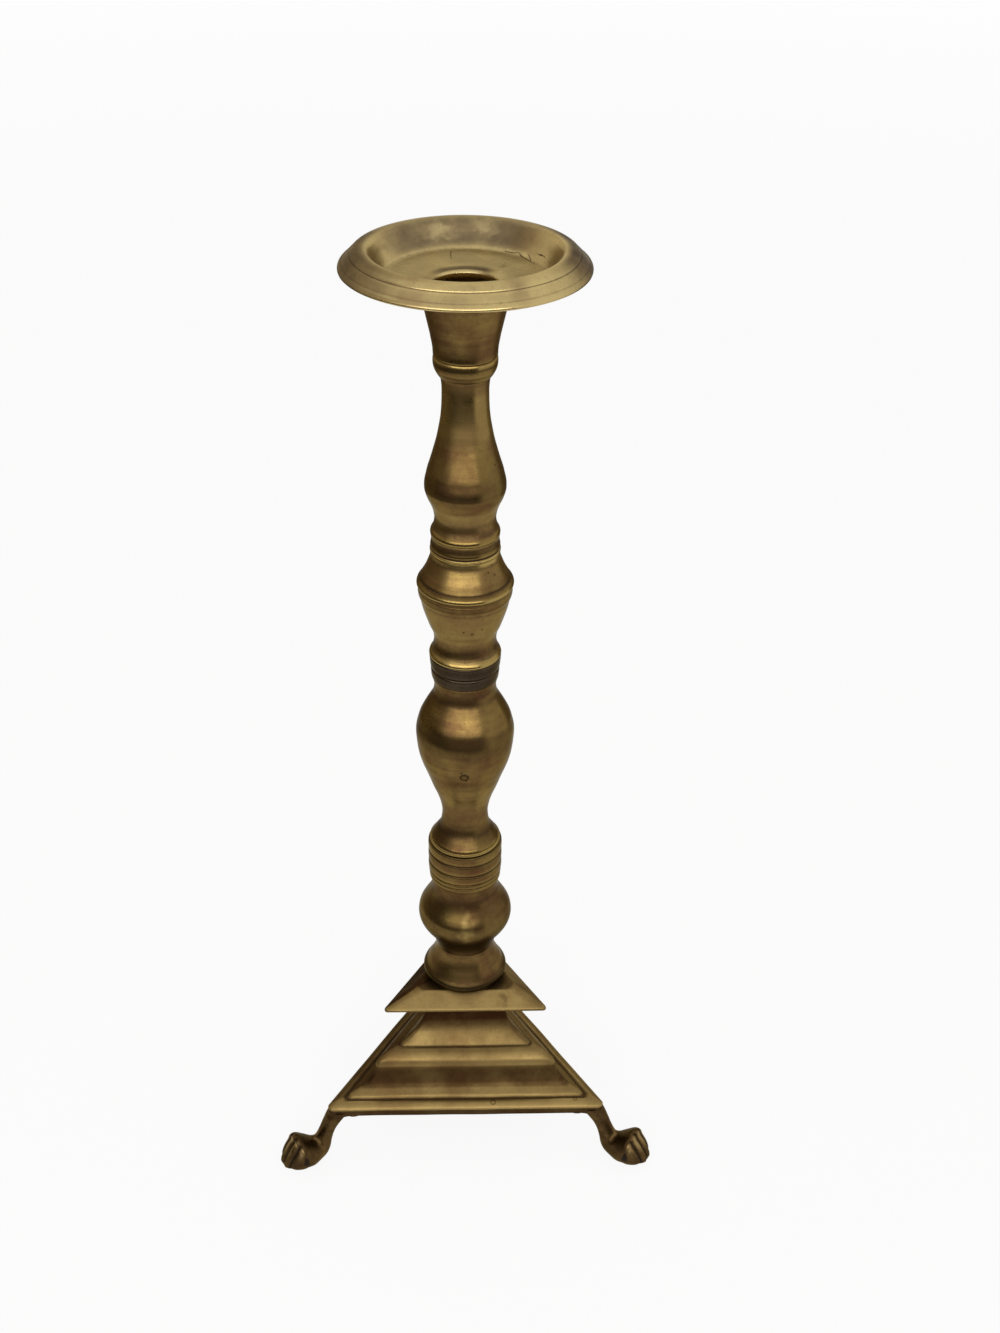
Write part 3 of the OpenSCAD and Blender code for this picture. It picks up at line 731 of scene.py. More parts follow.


# The turned pieces from the top down, with heights and radii in millimetres and shares of them
# Each wear run paints bands of light and shade up its piece: high values paint shade and dark reflections,
# low ones paint highlights
TURNINGS = (
    Turning("socket_ring", 8.2, 12.9, [
        [(0, 0.825), (0.08, 0.862), (0.2, 0.907), (0.34, 0.953), (0.49, 0.984), (0.66, 1),
         (0.86, 1), (0.95, 0.99), (1, 0.97)]],
        ((0, 0.5), (0.06, 0.3), (0.12, 0), (0.3, 0.6), (0.36, 0), (0.6, 0), (0.7, 0.7), (0.78, 0),
         (0.9, -0.5), (1, 0.3)), pitch=0.25),
    Turning("upper_baluster", 70.2, 16.8, [
        [(0, 0.84), (0.01, 0.862), (0.02, 0.869), (0.035, 0.856), (0.055, 0.808), (0.08, 0.775),
         (0.115, 0.759), (0.145, 0.774), (0.175, 0.804), (0.21, 0.857), (0.24, 0.917),
         (0.27, 0.964), (0.3, 0.997), (0.32, 1), (0.34, 0.998), (0.365, 0.982), (0.395, 0.952),
         (0.43, 0.917), (0.49, 0.839), (0.55, 0.768), (0.615, 0.696), (0.68, 0.643),
         (0.74, 0.601), (0.8, 0.576), (0.87, 0.563), (0.93, 0.563), (0.975, 0.582), (1, 0.604)]],
        ((0, -0.3), (0.03, 0), (0.2, -0.3), (0.26, 0.1), (0.36, 0.35), (0.55, 0.1), (0.68, -0.25),
         (0.9, -0.25), (1, 0))),
    Turning("bead_ring", 7.4, 14.8, [
        [(0, 0.974), (0.05, 0.998), (0.17, 1), (0.22, 0.974)],
        [(0.24, 0.964), (0.33, 0.984), (0.45, 0.986), (0.6, 0.969), (0.8, 0.96), (0.95, 0.966),
         (1, 0.974)]],
        ((0, -0.2), (0.15, -0.9), (0.24, 0.3), (0.4, 0), (0.6, 0.5), (0.9, 0), (1, -0.5)),
         pitch=0.2),
    Turning("knop", 17.4, 20.6, [
        [(0, 0.964), (0.03, 0.98), (0.06, 0.976)],
        [(0.075, 0.982), (0.12, 1), (0.19, 0.987), (0.26, 0.944), (0.285, 0.925)],
        [(0.3, 0.917), (0.34, 0.904), (0.49, 0.835), (0.62, 0.787), (0.75, 0.745), (0.86, 0.715),
         (0.96, 0.708), (1, 0.7)]],
        ((0, 0.2), (0.08, 0), (0.12, -0.5), (0.16, -0.5), (0.2, 0.1), (0.29, 0.5), (0.36, 0.1),
         (0.5, -0.12), (0.85, -0.12), (0.92, -0.5), (0.96, -0.8), (1, 0)), pitch=0.22),
    Turning("vase", 33.0, 20.1, [
        [(0, 0.76), (0.02, 0.777), (0.06, 0.756), (0.1, 0.715), (0.135, 0.694), (0.195, 0.672),
         (0.26, 0.667), (0.33, 0.682), (0.4, 0.718), (0.46, 0.762), (0.53, 0.803), (0.6, 0.841),
         (0.66, 0.873), (0.73, 0.906), (0.8, 0.932), (0.85, 0.949), (0.885, 0.973), (0.93, 0.994),
         (1, 1)]],
        ((0, -0.9), (0.03, -0.5), (0.12, -0.25), (0.16, 0.35), (0.24, 0.1), (0.35, -0.2),
         (0.8, -0.2), (0.89, -0.15), (0.925, 0.5), (0.955, 0), (1, 0))),
    Turning("upper_joint_ring", 6.0, 15.5, [
        [(0, 0.93), (0.08, 0.965), (0.3, 0.982), (0.65, 0.994), (0.93, 1), (1, 0.985)]],
        pitch=0.2, finish=JOINT_BRASS),
    Turning("lower_joint_ring", 5.6, 14.9, [
        [(0, 0.945), (0.12, 0.975), (0.45, 0.993), (0.82, 1), (0.95, 0.98), (1, 0.95)]],
        pitch=0.2, finish=JOINT_BRASS),
    Turning("lower_baluster", 87.0, 21.8, [
        [(0, 0.715), (0.01, 0.7), (0.02, 0.67), (0.045, 0.605), (0.07, 0.54), (0.095, 0.507),
         (0.12, 0.489), (0.145, 0.48), (0.17, 0.477), (0.2, 0.49), (0.245, 0.528), (0.295, 0.592),
         (0.345, 0.67), (0.4, 0.745), (0.45, 0.817), (0.5, 0.89), (0.55, 0.945), (0.6, 0.977),
         (0.65, 0.995), (0.675, 1), (0.7, 0.994), (0.73, 0.968), (0.775, 0.917), (0.825, 0.821),
         (0.855, 0.755), (0.88, 0.698), (0.905, 0.651), (0.93, 0.628), (0.955, 0.62),
         (0.98, 0.633), (1, 0.655)]],
        ((0, 0), (0.05, 0.45), (0.1, 0.35), (0.16, 0), (0.3, -0.2), (0.46, 0), (0.6, 0.1),
         (0.64, 0.2), (0.68, 0.4), (0.73, 0.4), (0.77, 0.1), (0.82, 0), (0.9, 0.2), (1, 0.2))),
    Turning("ribbed_collar", 22.7, 17.0, ribs(
        (0, 0.11, 0.212, 0.43, 0.69, 0.912, 1), (0.972, 0.985, 1, 1, 1, 0.953), 0.16, 0.7 / 17.0),
        ((0, 0.6), (0.05, 0), (0.09, 0.3), (0.11, 0.6), (0.14, 0), (0.19, 0.3), (0.212, 0.6),
         (0.26, -0.1), (0.37, 0.2), (0.43, 0.6), (0.48, -0.1), (0.62, 0.2), (0.69, 0.6),
         (0.75, -0.1), (0.86, 0.2), (0.912, 0.7), (0.94, -0.3), (1, -0.2)), pitch=0.2),
    Turning("ball_knop", 40.3, 21.9, [
        [(0, 0.635), (0.075, 0.667), (0.13, 0.708), (0.185, 0.763), (0.24, 0.831), (0.295, 0.9),
         (0.35, 0.954), (0.4, 0.986), (0.455, 1), (0.51, 0.991), (0.565, 0.965), (0.62, 0.913),
         (0.675, 0.852), (0.73, 0.795), (0.785, 0.749), (0.84, 0.717), (0.895, 0.708),
         (0.95, 0.717), (1, 0.735)]],
        ((0, 0.5), (0.1, 0.6), (0.26, 0.9), (0.34, 0.7), (0.42, 0.45), (0.5, 0.3), (0.6, 0.25),
         (0.7, 0.3), (1, 0.2))),
    Turning("foot_bell", 20.0, 20.0, [
        [(0, 0.87), (0.06, 0.94), (0.14, 0.985), (0.21, 0.995), (0.27, 0.972), (0.33, 0.924),
         (0.4, 0.885), (0.5, 0.835), (0.6, 0.785), (0.71, 0.74), (0.82, 0.71), (0.93, 0.695),
         (1, 0.695)]],
        ((0, 1), (0.26, 0.9), (0.33, 0.3), (0.45, 0.15), (1, 0.05)), pitch=0.25),
)


@dataclass
class Stem:
    """The socket, rings, balusters and knops that the rod clamps together."""

    body: str = "stand"
    turnings: Sequence[Turning] = TURNINGS
    socket_h: float = 27.6
    socket_r: float = 18.2
    socket_mouth: float = 24.8
    socket_recess: float = 13.6
    socket_floor: float = 10.8
    candle_r: float = 11.5
    socket_waver: Triple = (0.05, 16.0, 3.0)
    # Painted shade down the candle bore, darkest at its floor, given through the relief attribute
    bore_painted_shade: Sequence[float] = (0.0, 0.0, 0.0, -0.1, -0.3, -1.0)
    socket_flare: Run = (
        (0, 0.69), (0.02, 0.702), (0.09, 0.706), (0.17, 0.72), (0.25, 0.742), (0.33, 0.764), (0.41, 0.791),
        (0.49, 0.819), (0.57, 0.846), (0.65, 0.874), (0.8, 0.929), (1, 1))

    def socket(self, material: Material) -> bpy.types.Object:
        """Turns the flared socket with its candle bore.

        Args:
            material: its finish.

        Returns:
            The object.
        """
        pitch, steps = Turning.pitch, Turning.steps
        skin = resample(outline([self.socket_flare], self.socket_h, self.socket_r), pitch)
        bore = [Vector(p) for p in (
            (self.socket_recess, self.socket_h), (self.socket_recess, self.socket_mouth),
            (self.candle_r, self.socket_mouth), (self.candle_r, self.socket_floor),
            (0.0, self.socket_floor), (0.0, 0.0))]
        relief_and_painted_shade = [*relief_of(skin, pitch), *self.bore_painted_shade]
        bm = spin([*skin, *bore], relief_and_painted_shade, [0.0] * len(relief_and_painted_shade), steps)
        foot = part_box("candle_socket")[0].z / MM
        bmesh.ops.translate(bm, verts=bm.verts, vec=(0, 0, foot))
        waver(bm, *self.socket_waver)
        return to_object(bm, "candle_socket_turned", material)

    def build(self, dress: Dress) -> None:
        """Builds the stem's pieces and puts them on the stand.

        Args:
            dress: gives the material of a finish.
        """
        adopt(self.socket(dress(STEM_BRASS)), self.body, STEM_BRASS.slot, "candle_socket")
        for turning in self.turnings:
            finish = turning.finish
            adopt(turning.build(dress(finish)), self.body, finish.slot, turning.node)


# ---- The drip pan


@dataclass
class DripPan:
    """The loose pan that lies on the socket, with its collar round the candle."""

    body: str = "pan"
    radius: float = 48.5
    height: float = 14.9
    collar_in: float = 11.8
    collar_out: float = 13.3
    collar_drop: float = 2.5
    hole_edge: float = 2.0
    bevel: float = 0.7
    pitch: float = 0.3
    steps: int = 256
    waver: Triple = (0.09, 20.0, 7.0)
    # Where the painted light and shade start and stop: shares of the radius, and degrees to the right of the
    # front
    rim_from: Pair = (0.74, 0.85)
    floor_from: Pair = (0.3, 0.36)
    floor_to: Pair = (0.6, 0.68)
    hole_to: Pair = (0.252, 0.266)
    left_turns: tuple[float, float, float, float] = (-22.0, -70.0, -100.0, -150.0)
    right_turns: tuple[float, float, float, float] = (38.0, 85.0, 110.0, 150.0)
    lit_turn: float = 12.0
    lit_span: Pair = (30.0, 65.0)
    top: Sequence[Run] = field(default_factory=lambda: [
        [(0.134, 0.262), (0.16, 0.33), (0.215, 0.46), (0.29, 0.585), (0.325, 0.625)],
        [(0.335, 0.628), (0.42, 0.66), (0.6, 0.7), (0.78, 0.73), (0.93, 0.757), (1, 0.785),
         (0.985, 0.835), (0.94, 0.878), (0.88, 0.902)],
        [(0.85, 0.898), (0.84, 0.91)],
        [(0.83, 0.916), (0.67, 0.964)],
        [(0.65, 0.966), (0.61, 0.986), (0.54, 1), (0.48, 0.997), (0.456, 0.982)]])
    low: Sequence[Run] = field(default_factory=lambda: [
        [(0.475, 0.957), (0.58, 0.932), (0.75, 0.876), (0.835, 0.82), (0.72, 0.787), (0.45, 0.746),
         (0.22, 0.68), (0.09, 0.58), (0.02, 0.47), (0, 0.41)]])

    def paint_light_and_shade(self, bm: BMesh) -> None:
        """Paints light and shade: shade on both sides of the rim, on the bowl's back wall and round the
        hole's edge, a lighter floor, right wall and hole inside, and a painted highlight on the hole's far
        edge.

        Args:
            bm: the pan, its hole's edge at height 0.
        """
        layer = bm.verts.layers.float["wear_and_painted_light"]
        for vert in bm.verts:
            away = vert.co.xy.length / self.radius
            turn = math.degrees(math.atan2(vert.co.x, -vert.co.y))
            rim = ease(*self.rim_from, away)
            floor = (1 - ease(*self.floor_to, away)) * ease(*self.floor_from, away)
            hole = 1 - ease(*self.hole_to, away)
            left, right = (
                ease(*side[:2], turn) * (1 - ease(*side[2:], turn))
                for side in (self.left_turns, self.right_turns))
            back = ease(0.2, 0.9, -math.cos(math.radians(turn)))
            wall = (1 - rim - floor) * (1 - hole) * (back * 0.75 - right * 0.9 - left * 0.1)
            lit = 1 - ease(*self.lit_span, abs((turn - self.lit_turn) % 360 - 180.0))
            inside = vert.co.z < self.hole_edge - self.bevel - 0.1
            edge = hole * (-0.3 if inside else 0.6 - 1.5 * lit)
            vert[layer] = rim * (left * 0.8 + right) + wall - floor * 0.35 + edge

    def build(self, dress: Dress) -> None:
        """Turns the pan and puts it on its own body.

        Args:
            dress: gives the material of a finish.
        """
        top, low = (
            resample(outline(run, self.height, self.radius), self.pitch) for run in (self.top, self.low))
        collar = [
            (self.collar_out, 0.0), (self.collar_out, -self.collar_drop), (self.collar_in, -self.collar_drop),
            (self.collar_in, self.hole_edge - 2 * self.bevel), (self.collar_in, self.hole_edge - self.bevel)]
        relief_and_painted_shade = [-v for v in relief_of(top, self.pitch, reach=0.8) + relief_of(low, self.pitch)]
        skin = [*top, *low, *(Vector(p) for p in collar)]
        bm = spin(skin, [*relief_and_painted_shade, *([0.0] * len(collar))], [0.0] * len(skin), self.steps)
        self.paint_light_and_shade(bm)
        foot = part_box("drip_pan")[0].z / MM + self.collar_drop
        bmesh.ops.translate(bm, verts=bm.verts, vec=(0, 0, foot))
        waver(bm, *self.waver)
        adopt(to_object(bm, "drip_pan_turned", dress(PAN_BRASS)), self.body, PAN_BRASS.slot, "drip_pan")


# ---- The base


def three_sided(across: float, height: float, blunt: float, sides: int = 40,
                arc: int = 8) -> list[Vector]:
    """A level ring on the three faces of the base, its corners cut flat and eased.

    Args:
        across: distance from the stem's axis to each face.
        height: the ring's height.
        blunt: how far each corner is cut back.
        sides: points on a side.
        arc: points on a corner.

    Returns:
        The ring's points, from the front left corner round by the front.
    """
    ring: list[Vector] = []
    flat = blunt * 0.87 / math.cos(math.radians(30))
    back = flat * 1.6
    corners = [Vector((math.cos(a), math.sin(a), 0)) * 2 * across for a in map(math.radians, FOOT_ANGLES)]
    for corner, after, before in zip(corners, corners[1:] + corners[:1], corners[2:] + corners[:2]):
        out, left = (after - corner).normalized(), (before - corner).normalized()
        start, end = corner + left * back, corner + out * back
        for i in range(arc):
            t = i / arc
            inner = (corner + left * flat) * (1 - t) + (corner + out * flat) * t
            ring.append(start * (1 - t) ** 3 + inner * 3 * t * (1 - t) + end * t ** 3)
        ring += [end.lerp(after - out * back, i / sides) for i in range(sides)]
    for p in ring:
        p.z = height
    return ring


def round_ring(radius: float, height: float, like: Sequence[Vector]) -> list[Vector]:
    """A level circle whose points lie in the directions of another ring's points."""
    return [Vector((p.x, p.y, 0)).normalized() * radius + Vector((0, 0, height)) for p in like]


@dataclass
class Base:
    """The moulded three-sided base with the plate that caps it."""

    body: str = "stand"
    across: float = 40.01
    height: float = 51.6
    deck: float = 5.5
    blunt: float = 2.1
    lip_blunt: float = 3.2
    lip: float = 0.062
    # Painted shade on the left and right faces, on the plate's side faces, and near the ends of the front
    # face
    painted_side_shade: Pair = (0.75, 0.3)
    painted_plate_side_shade: Pair = (1.0, 0.25)
    painted_end_shade: float = 0.3
    hole: float = 4.5
    plate_low: float = 23.04
    plate_top: float = 15.3
    plate_h: float = 6.8
    plate_edge: float = 1.0
    plate_blunt: Pair = (1.6, 2.6)
    inner_blunt: float = 1.0
    plate_waver: Triple = (0.12, 18.0, 9.0)
    pitch: float = 0.45
    plate_pitch: float = 0.35
    hollow_pitch: float = 1.2
    # Painted shade on the lip's face, for the dark reflection from under the base, given through the relief
    # attribute
    lip_painted_shade: float = -0.42
    face: Sequence[Run] = field(default_factory=lambda: [
        [(0, 1), (0.064, 1)],
        [(0.085, 0.98), (0.104, 0.94), (0.112, 0.895)],
        [(0.096, 0.865), (0.111, 0.845)],
        [(0.123, 0.84), (0.155, 0.766)],
        [(0.163, 0.75), (0.201, 0.71), (0.267, 0.672), (0.343, 0.654)],
        [(0.362, 0.657), (0.415, 0.634), (0.458, 0.583), (0.481, 0.53), (0.492, 0.5)],
        [(0.489, 0.485), (0.501, 0.48)],
        [(0.558, 0.418), (0.619, 0.362), (0.686, 0.327), (0.762, 0.31), (0.838, 0.315), (0.914, 0.34),
         (0.976, 0.388), (1, 0.4)]])
    # Bands up the faces, partly real film and mostly painted light: painted shade and dark reflection on the
    # lip's face, a low band and the cove under the plate, a painted highlight on the lip's top
    wear_and_painted_light: Run = (
        (0, 0.8), (0.058, 0.75), (0.066, -0.7), (0.08, -0.2), (0.123, 0), (0.157, -0.05), (0.167, 0.6),
        (0.201, 0.85), (0.324, 0.75), (0.381, 0), (0.486, 0.05), (0.524, 0.15), (0.6, 0.25), (0.66, 0.7),
        (0.72, 1), (1, 1))
    # Painted light and shade up the plate's bevel: darker at its foot, lighter on its slope
    plate_painted_light: Run = ((0, 0.5), (0.13, 0.3), (0.17, -0.1), (0.93, -0.1), (1, 0.2))
    hollow: Run = (
        (0, 0.85), (0.134, 0.675), (0.318, 0.58), (0.401, 0.53), (0.443, 0.41), (0.562, 0.29),
        (0.657, 0.242))

    def shell(self, material: Material) -> bpy.types.Object:
        """Models the hollow base from rings on its faces.

        Args:
            material: its finish.

        Returns:
            The object.
        """
        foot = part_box("base_shell")[0].z / MM
        skin = resample(outline(self.face, self.height, self.across), self.pitch)
        relief_and_painted_shade = [
            self.lip_painted_shade if p.y < self.lip * self.height else value
            for p, value in zip(skin, relief_of(skin, self.pitch, depth=0.35))]
        corner = 2 * self.across - self.lip_blunt
        rings = [
            three_sided(p.x, foot + p.y, max(self.blunt, 2 * p.x - corner)) for p in skin]
        like = rings[-1]
        deck_low = self.height - self.deck
        rings += [round_ring(self.hole, foot + z, like) for z in (self.height, deck_low)]
        hollow = [Vector((d * self.across, z * self.height)) for z, d in reversed(self.hollow)]
        inner = resample(hollow, self.hollow_pitch, 2)
        rings.append(three_sided(inner[0].x, foot + deck_low, self.inner_blunt))
        rings += [three_sided(p.x, foot + p.y, self.inner_blunt) for p in inner]
        # The hole and the hollow inside get painted shade: low relief and a dark film
        values = [*relief_and_painted_shade, -1.0, -1.0, -1.0, *([-0.6] * len(inner))]
        wear_and_painted_light = [level(self.wear_and_painted_light, p.y / self.height) for p in skin] + [0.5] * (3 + len(inner))
        bm = loft(rings, values, wear_and_painted_light, closed=True)
        self.paint_light_and_shade(bm, self.painted_side_shade)
        waver(bm, *CAST_WAVER, flat=False)
        return to_object(bm, "base_shell_cast", material)

    def paint_light_and_shade(self, bm: BMesh, painted_side_shades: Pair) -> None:
        """Paints shade and dark reflection on the two faces that aren't at the front, and less of it near the
        ends of the front face.

        Args:
            bm: the base or its plate, round the stem's axis.
            painted_side_shades: the painted shade on its left face and on its right one.
        """
        layer = bm.verts.layers.float["wear_and_painted_light"]
        for vert in bm.verts:
            turn = abs(math.degrees(math.atan2(vert.co.x, -vert.co.y)))
            side = ease(60.0, 61.2, turn) * painted_side_shades[vert.co.x > 0]
            share = max(side, ease(53.0, 60.5, turn) * self.painted_end_shade)
            vert[layer] = vert[layer] * (1 - share) + share

    def plate(self, material: Material) -> bpy.types.Object:
        """Models the bevelled plate under the bell.

        Args:
            material: its finish.

        Returns:
            The object.
        """
        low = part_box("base_shell")[1].z / MM
        path = resample([
            Vector((self.plate_low, 0)), Vector((self.plate_low, self.plate_edge)),
            Vector((self.plate_top, self.plate_h))], self.plate_pitch)
        relief_and_painted_shade = relief_of(path, self.plate_pitch)
        blunt, more = self.plate_blunt
        rings = [three_sided(p.x, low + p.y, blunt + more * ease(0, self.plate_h, p.y)) for p in path]
        like = rings[0]
        rings.append(three_sided(self.plate_top - 0.5, low + self.plate_h, blunt + more))
        rings += [round_ring(self.hole, low + z, like) for z in (self.plate_h, 0.0)]
        wear_and_painted_light = [level(self.plate_painted_light, p.y / self.plate_h) for p in path]
        # The plate's inner edge and hole get painted shade: low relief and a dark film
        bm = loft(rings, [*relief_and_painted_shade, -0.1, -0.3, -0.5], [*wear_and_painted_light, 0.6, 0.9, 0.9], closed=True)
        self.paint_light_and_shade(bm, self.painted_plate_side_shade)
        waver(bm, *self.plate_waver, flat=False)
        return to_object(bm, "cap_plate_cast", material)

    def build(self, dress: Dress) -> None:
        """Builds the base and its plate and puts them on the stand.

        Args:
            dress: gives the material of a finish.
        """
        adopt(self.shell(dress(BASE_BRASS)), self.body, BASE_BRASS.slot, "base_shell")
        adopt(self.plate(dress(BASE_BRASS)), self.body, BASE_BRASS.slot, "cap_plate")


# ---- The feet


@dataclass
class PawFoot:
    """A cast leg that leaves the base's corner and ends in a lion's paw."""

    node: str
    angle: float
    body: str = "stand"
    leg_in: float = 67.0
    reach: float = 35.6
    drop: float = 24.7
    paw_w: float = 18.6
    sides: int = 72
    steps: int = 6
    tongue_w: float = 12.0
    tongue_t: float = 3.0
    screw_at: float = 52.0
    tongue_end: float = 69.0
    crest: float = 1.06
    corner: float = 80.02
    toe_step: float = 94.2
    toe_gap: float = 4.6
    groove: float = 0.6
    groove_w: float = 0.55
    crown: float = 0.12
    web_inset: float = 0.06
    waver_above: float = 16.0
    rows: Sequence[Sequence[float]] = (
         (0.236, 1.154, -0.07, 1.154, 0.57), (0.278, 1.02, -0.023, 1.02, 0.556),
        (0.32, 0.927, 0.043, 0.927, 0.518), (0.367, 0.794, 0.152, 0.769, 0.469),
        (0.413, 0.667, 0.221, 0.599, 0.439), (0.46, 0.559, 0.266, 0.401, 0.449),
        (0.503, 0.504, 0.298, 0.203, 0.495), (0.562, 0.531, 0.358, 0.066, 0.597),
        (0.647, 0.625, 0.464, 0.009, 0.792), (0.739, 0.714, 0.583, -0.031, 0.976),
        (0.804, 0.705, 0.694, -0.013, 1), (0.832, 0.621, 0.768, -0.017, 0.936),
        (0.903, 0.487, 0.869, 0.032, 0.782), (0.964, 0.338, 0.95, 0.105, 0.542),
        (1, 0.231, 0.995, 0.146, 0.288))
    web: Run = ((0, 1), (0.1, 0.7), (0.24, 0.42), (0.43, 0.2), (0.68, 0.06), (1, 0))
    web_length: float = 10.0
    web_height: float = 3.4
    web_start: float = 6.2
    web_top: float = 1.2

    def form(self) -> BMesh:
        """Draws the leg and paw as a skin over rings.

        Returns:
            A closed mesh that points along +X.
        """
        rows = smooth([Vector(row) for row in self.rows], self.steps)
        rings = []
        for row in rows:
            top = Vector((self.leg_in + row[0] * self.reach, 0, min(row[1], self.crest) * self.drop))
            low = Vector((self.leg_in + row[2] * self.reach, 0, min(row[3], self.crest) * self.drop))
            middle, arm, wide = (top + low) / 2, (top - low) / 2, row[4] * self.paw_w / 2
            rings.append([
                middle + arm * math.cos(t) + Vector((0, wide * math.sin(t), 0))
                for t in (2 * math.pi * i / self.sides for i in range(self.sides))])
        flat = [0.0] * len(rings)
        return loft(rings, flat, flat, closed=False)

    def toes(self, bm: BMesh) -> None:
        """Cuts the toes and their knuckles into the paw, and flattens its sole.

        Args:
            bm: the leg, along +X.
        """
        bm.normal_update()
        relief_and_painted_shade = bm.verts.layers.float["relief_and_painted_shade"]
        wear_and_painted_light = bm.verts.layers.float["wear_and_painted_light"]
        for vert in bm.verts:
            p = vert.co
            # The toes start at a step across the paw's top, lower down they start sooner
            start = ease(-0.6, 0.6, p.x - self.toe_step + 0.22 * max(0.0, 15.0 - p.z))
            lane = (p.y / self.toe_gap + 0.5) % 1.0 - 0.5
            cut = math.exp(-(lane * self.toe_gap / self.groove_w) ** 2) * start
            crown = math.cos(2 * math.pi * lane) * -0.5 + 0.5
            vert[relief_and_painted_shade] = -0.75 * cut
            ankle = math.exp(-((p.x - 84.5) / 2.2) ** 2) * ease(8.0, 14.0, p.z)
            tip = start * crown * ease(7.0, 14.5, p.z) * (1 - ease(16.5, 18.5, p.z))
            vert[wear_and_painted_light] = 0.3 - tip * 0.95 - ankle * 0.5
            vert.co += vert.normal * (self.crown * (crown - 1) * start - self.groove * cut)
        for vert in bm.verts:
            if vert.co.z < 0:
                vert.co.z = 0.0

    def tongue(self, bm: BMesh) -> None:
        """Adds the flat tongue, rounded at both ends, that a screw holds under the base.

        Args:
            bm: the leg's mesh.
        """
        grown = bmesh.ops.create_cube(bm, size=1.0)["verts"]
        length = self.tongue_end - self.screw_at
        bmesh.ops.scale(bm, vec=(length, self.tongue_w, self.tongue_t), verts=grown)
        middle = (self.screw_at + length / 2, 0, self.drop - self.tongue_t / 2)
        bmesh.ops.translate(bm, vec=middle, verts=grown)
        upright = [e for e in dict.fromkeys(e for v in grown for e in v.link_edges)
                   if abs(e.verts[0].co.z - e.verts[1].co.z) > self.tongue_t / 2]
        bmesh.ops.bevel(bm, geom=upright, offset=self.tongue_w * 0.45, offset_type="OFFSET", segments=8,
                        profile=0.5, affect="EDGES", material=-1)

    def webs(self, bm: BMesh) -> None:
        """Adds the long low webs that run from the leg along both sides of the base's lip.

        Args:
            bm: the leg's mesh.
        """
        lip = [Vector((x * self.web_length, 0, -z * self.web_height)) for x, z in self.web]
        curve = smooth(lip, self.steps)
        for side in (-1, 1):
            turn = Matrix.Rotation(math.radians(150 * side), 3, "Z")
            ends = (Vector((self.web_length, 0, self.web_top)), Vector((0, 0, self.web_top)))
            verts = [bm.verts.new(p) for p in (*curve, *ends)]
            sheet = bm.faces.new(verts)
            grown = bmesh.ops.extrude_face_region(bm, geom=[sheet])["geom"]
            deep = [item for item in grown if isinstance(item, BMVert)]
            bmesh.ops.translate(bm, verts=deep, vec=(0, side * self.tongue_t, 0))
            both = [*verts, *deep]
            bmesh.ops.translate(bm, verts=both, vec=(self.web_start, side * self.web_inset, 0))
            bmesh.ops.rotate(bm, cent=(0, 0, 0), matrix=turn, verts=both)
            bmesh.ops.translate(bm, verts=both, vec=(self.corner, 0, self.drop))

    def build(self, dress: Dress) -> None:
        """Models one foot and puts it on the stand.

        Args:
            dress: gives the material of a finish.
        """
        bm = self.form()
        bmesh.ops.recalc_face_normals(bm, faces=bm.faces)
        self.toes(bm)
        self.tongue(bm)
        self.webs(bm)
        turn = Matrix.Rotation(math.radians(self.angle), 3, "Z")
        bmesh.ops.rotate(bm, cent=(0, 0, 0), matrix=turn, verts=bm.verts)
        waver(bm, *CAST_WAVER, flat=False, above=self.waver_above)
        adopt(to_object(bm, f"{self.node}_cast", dress(FOOT_BRASS)), self.body, FOOT_BRASS.slot, self.node)


# ---- Setting


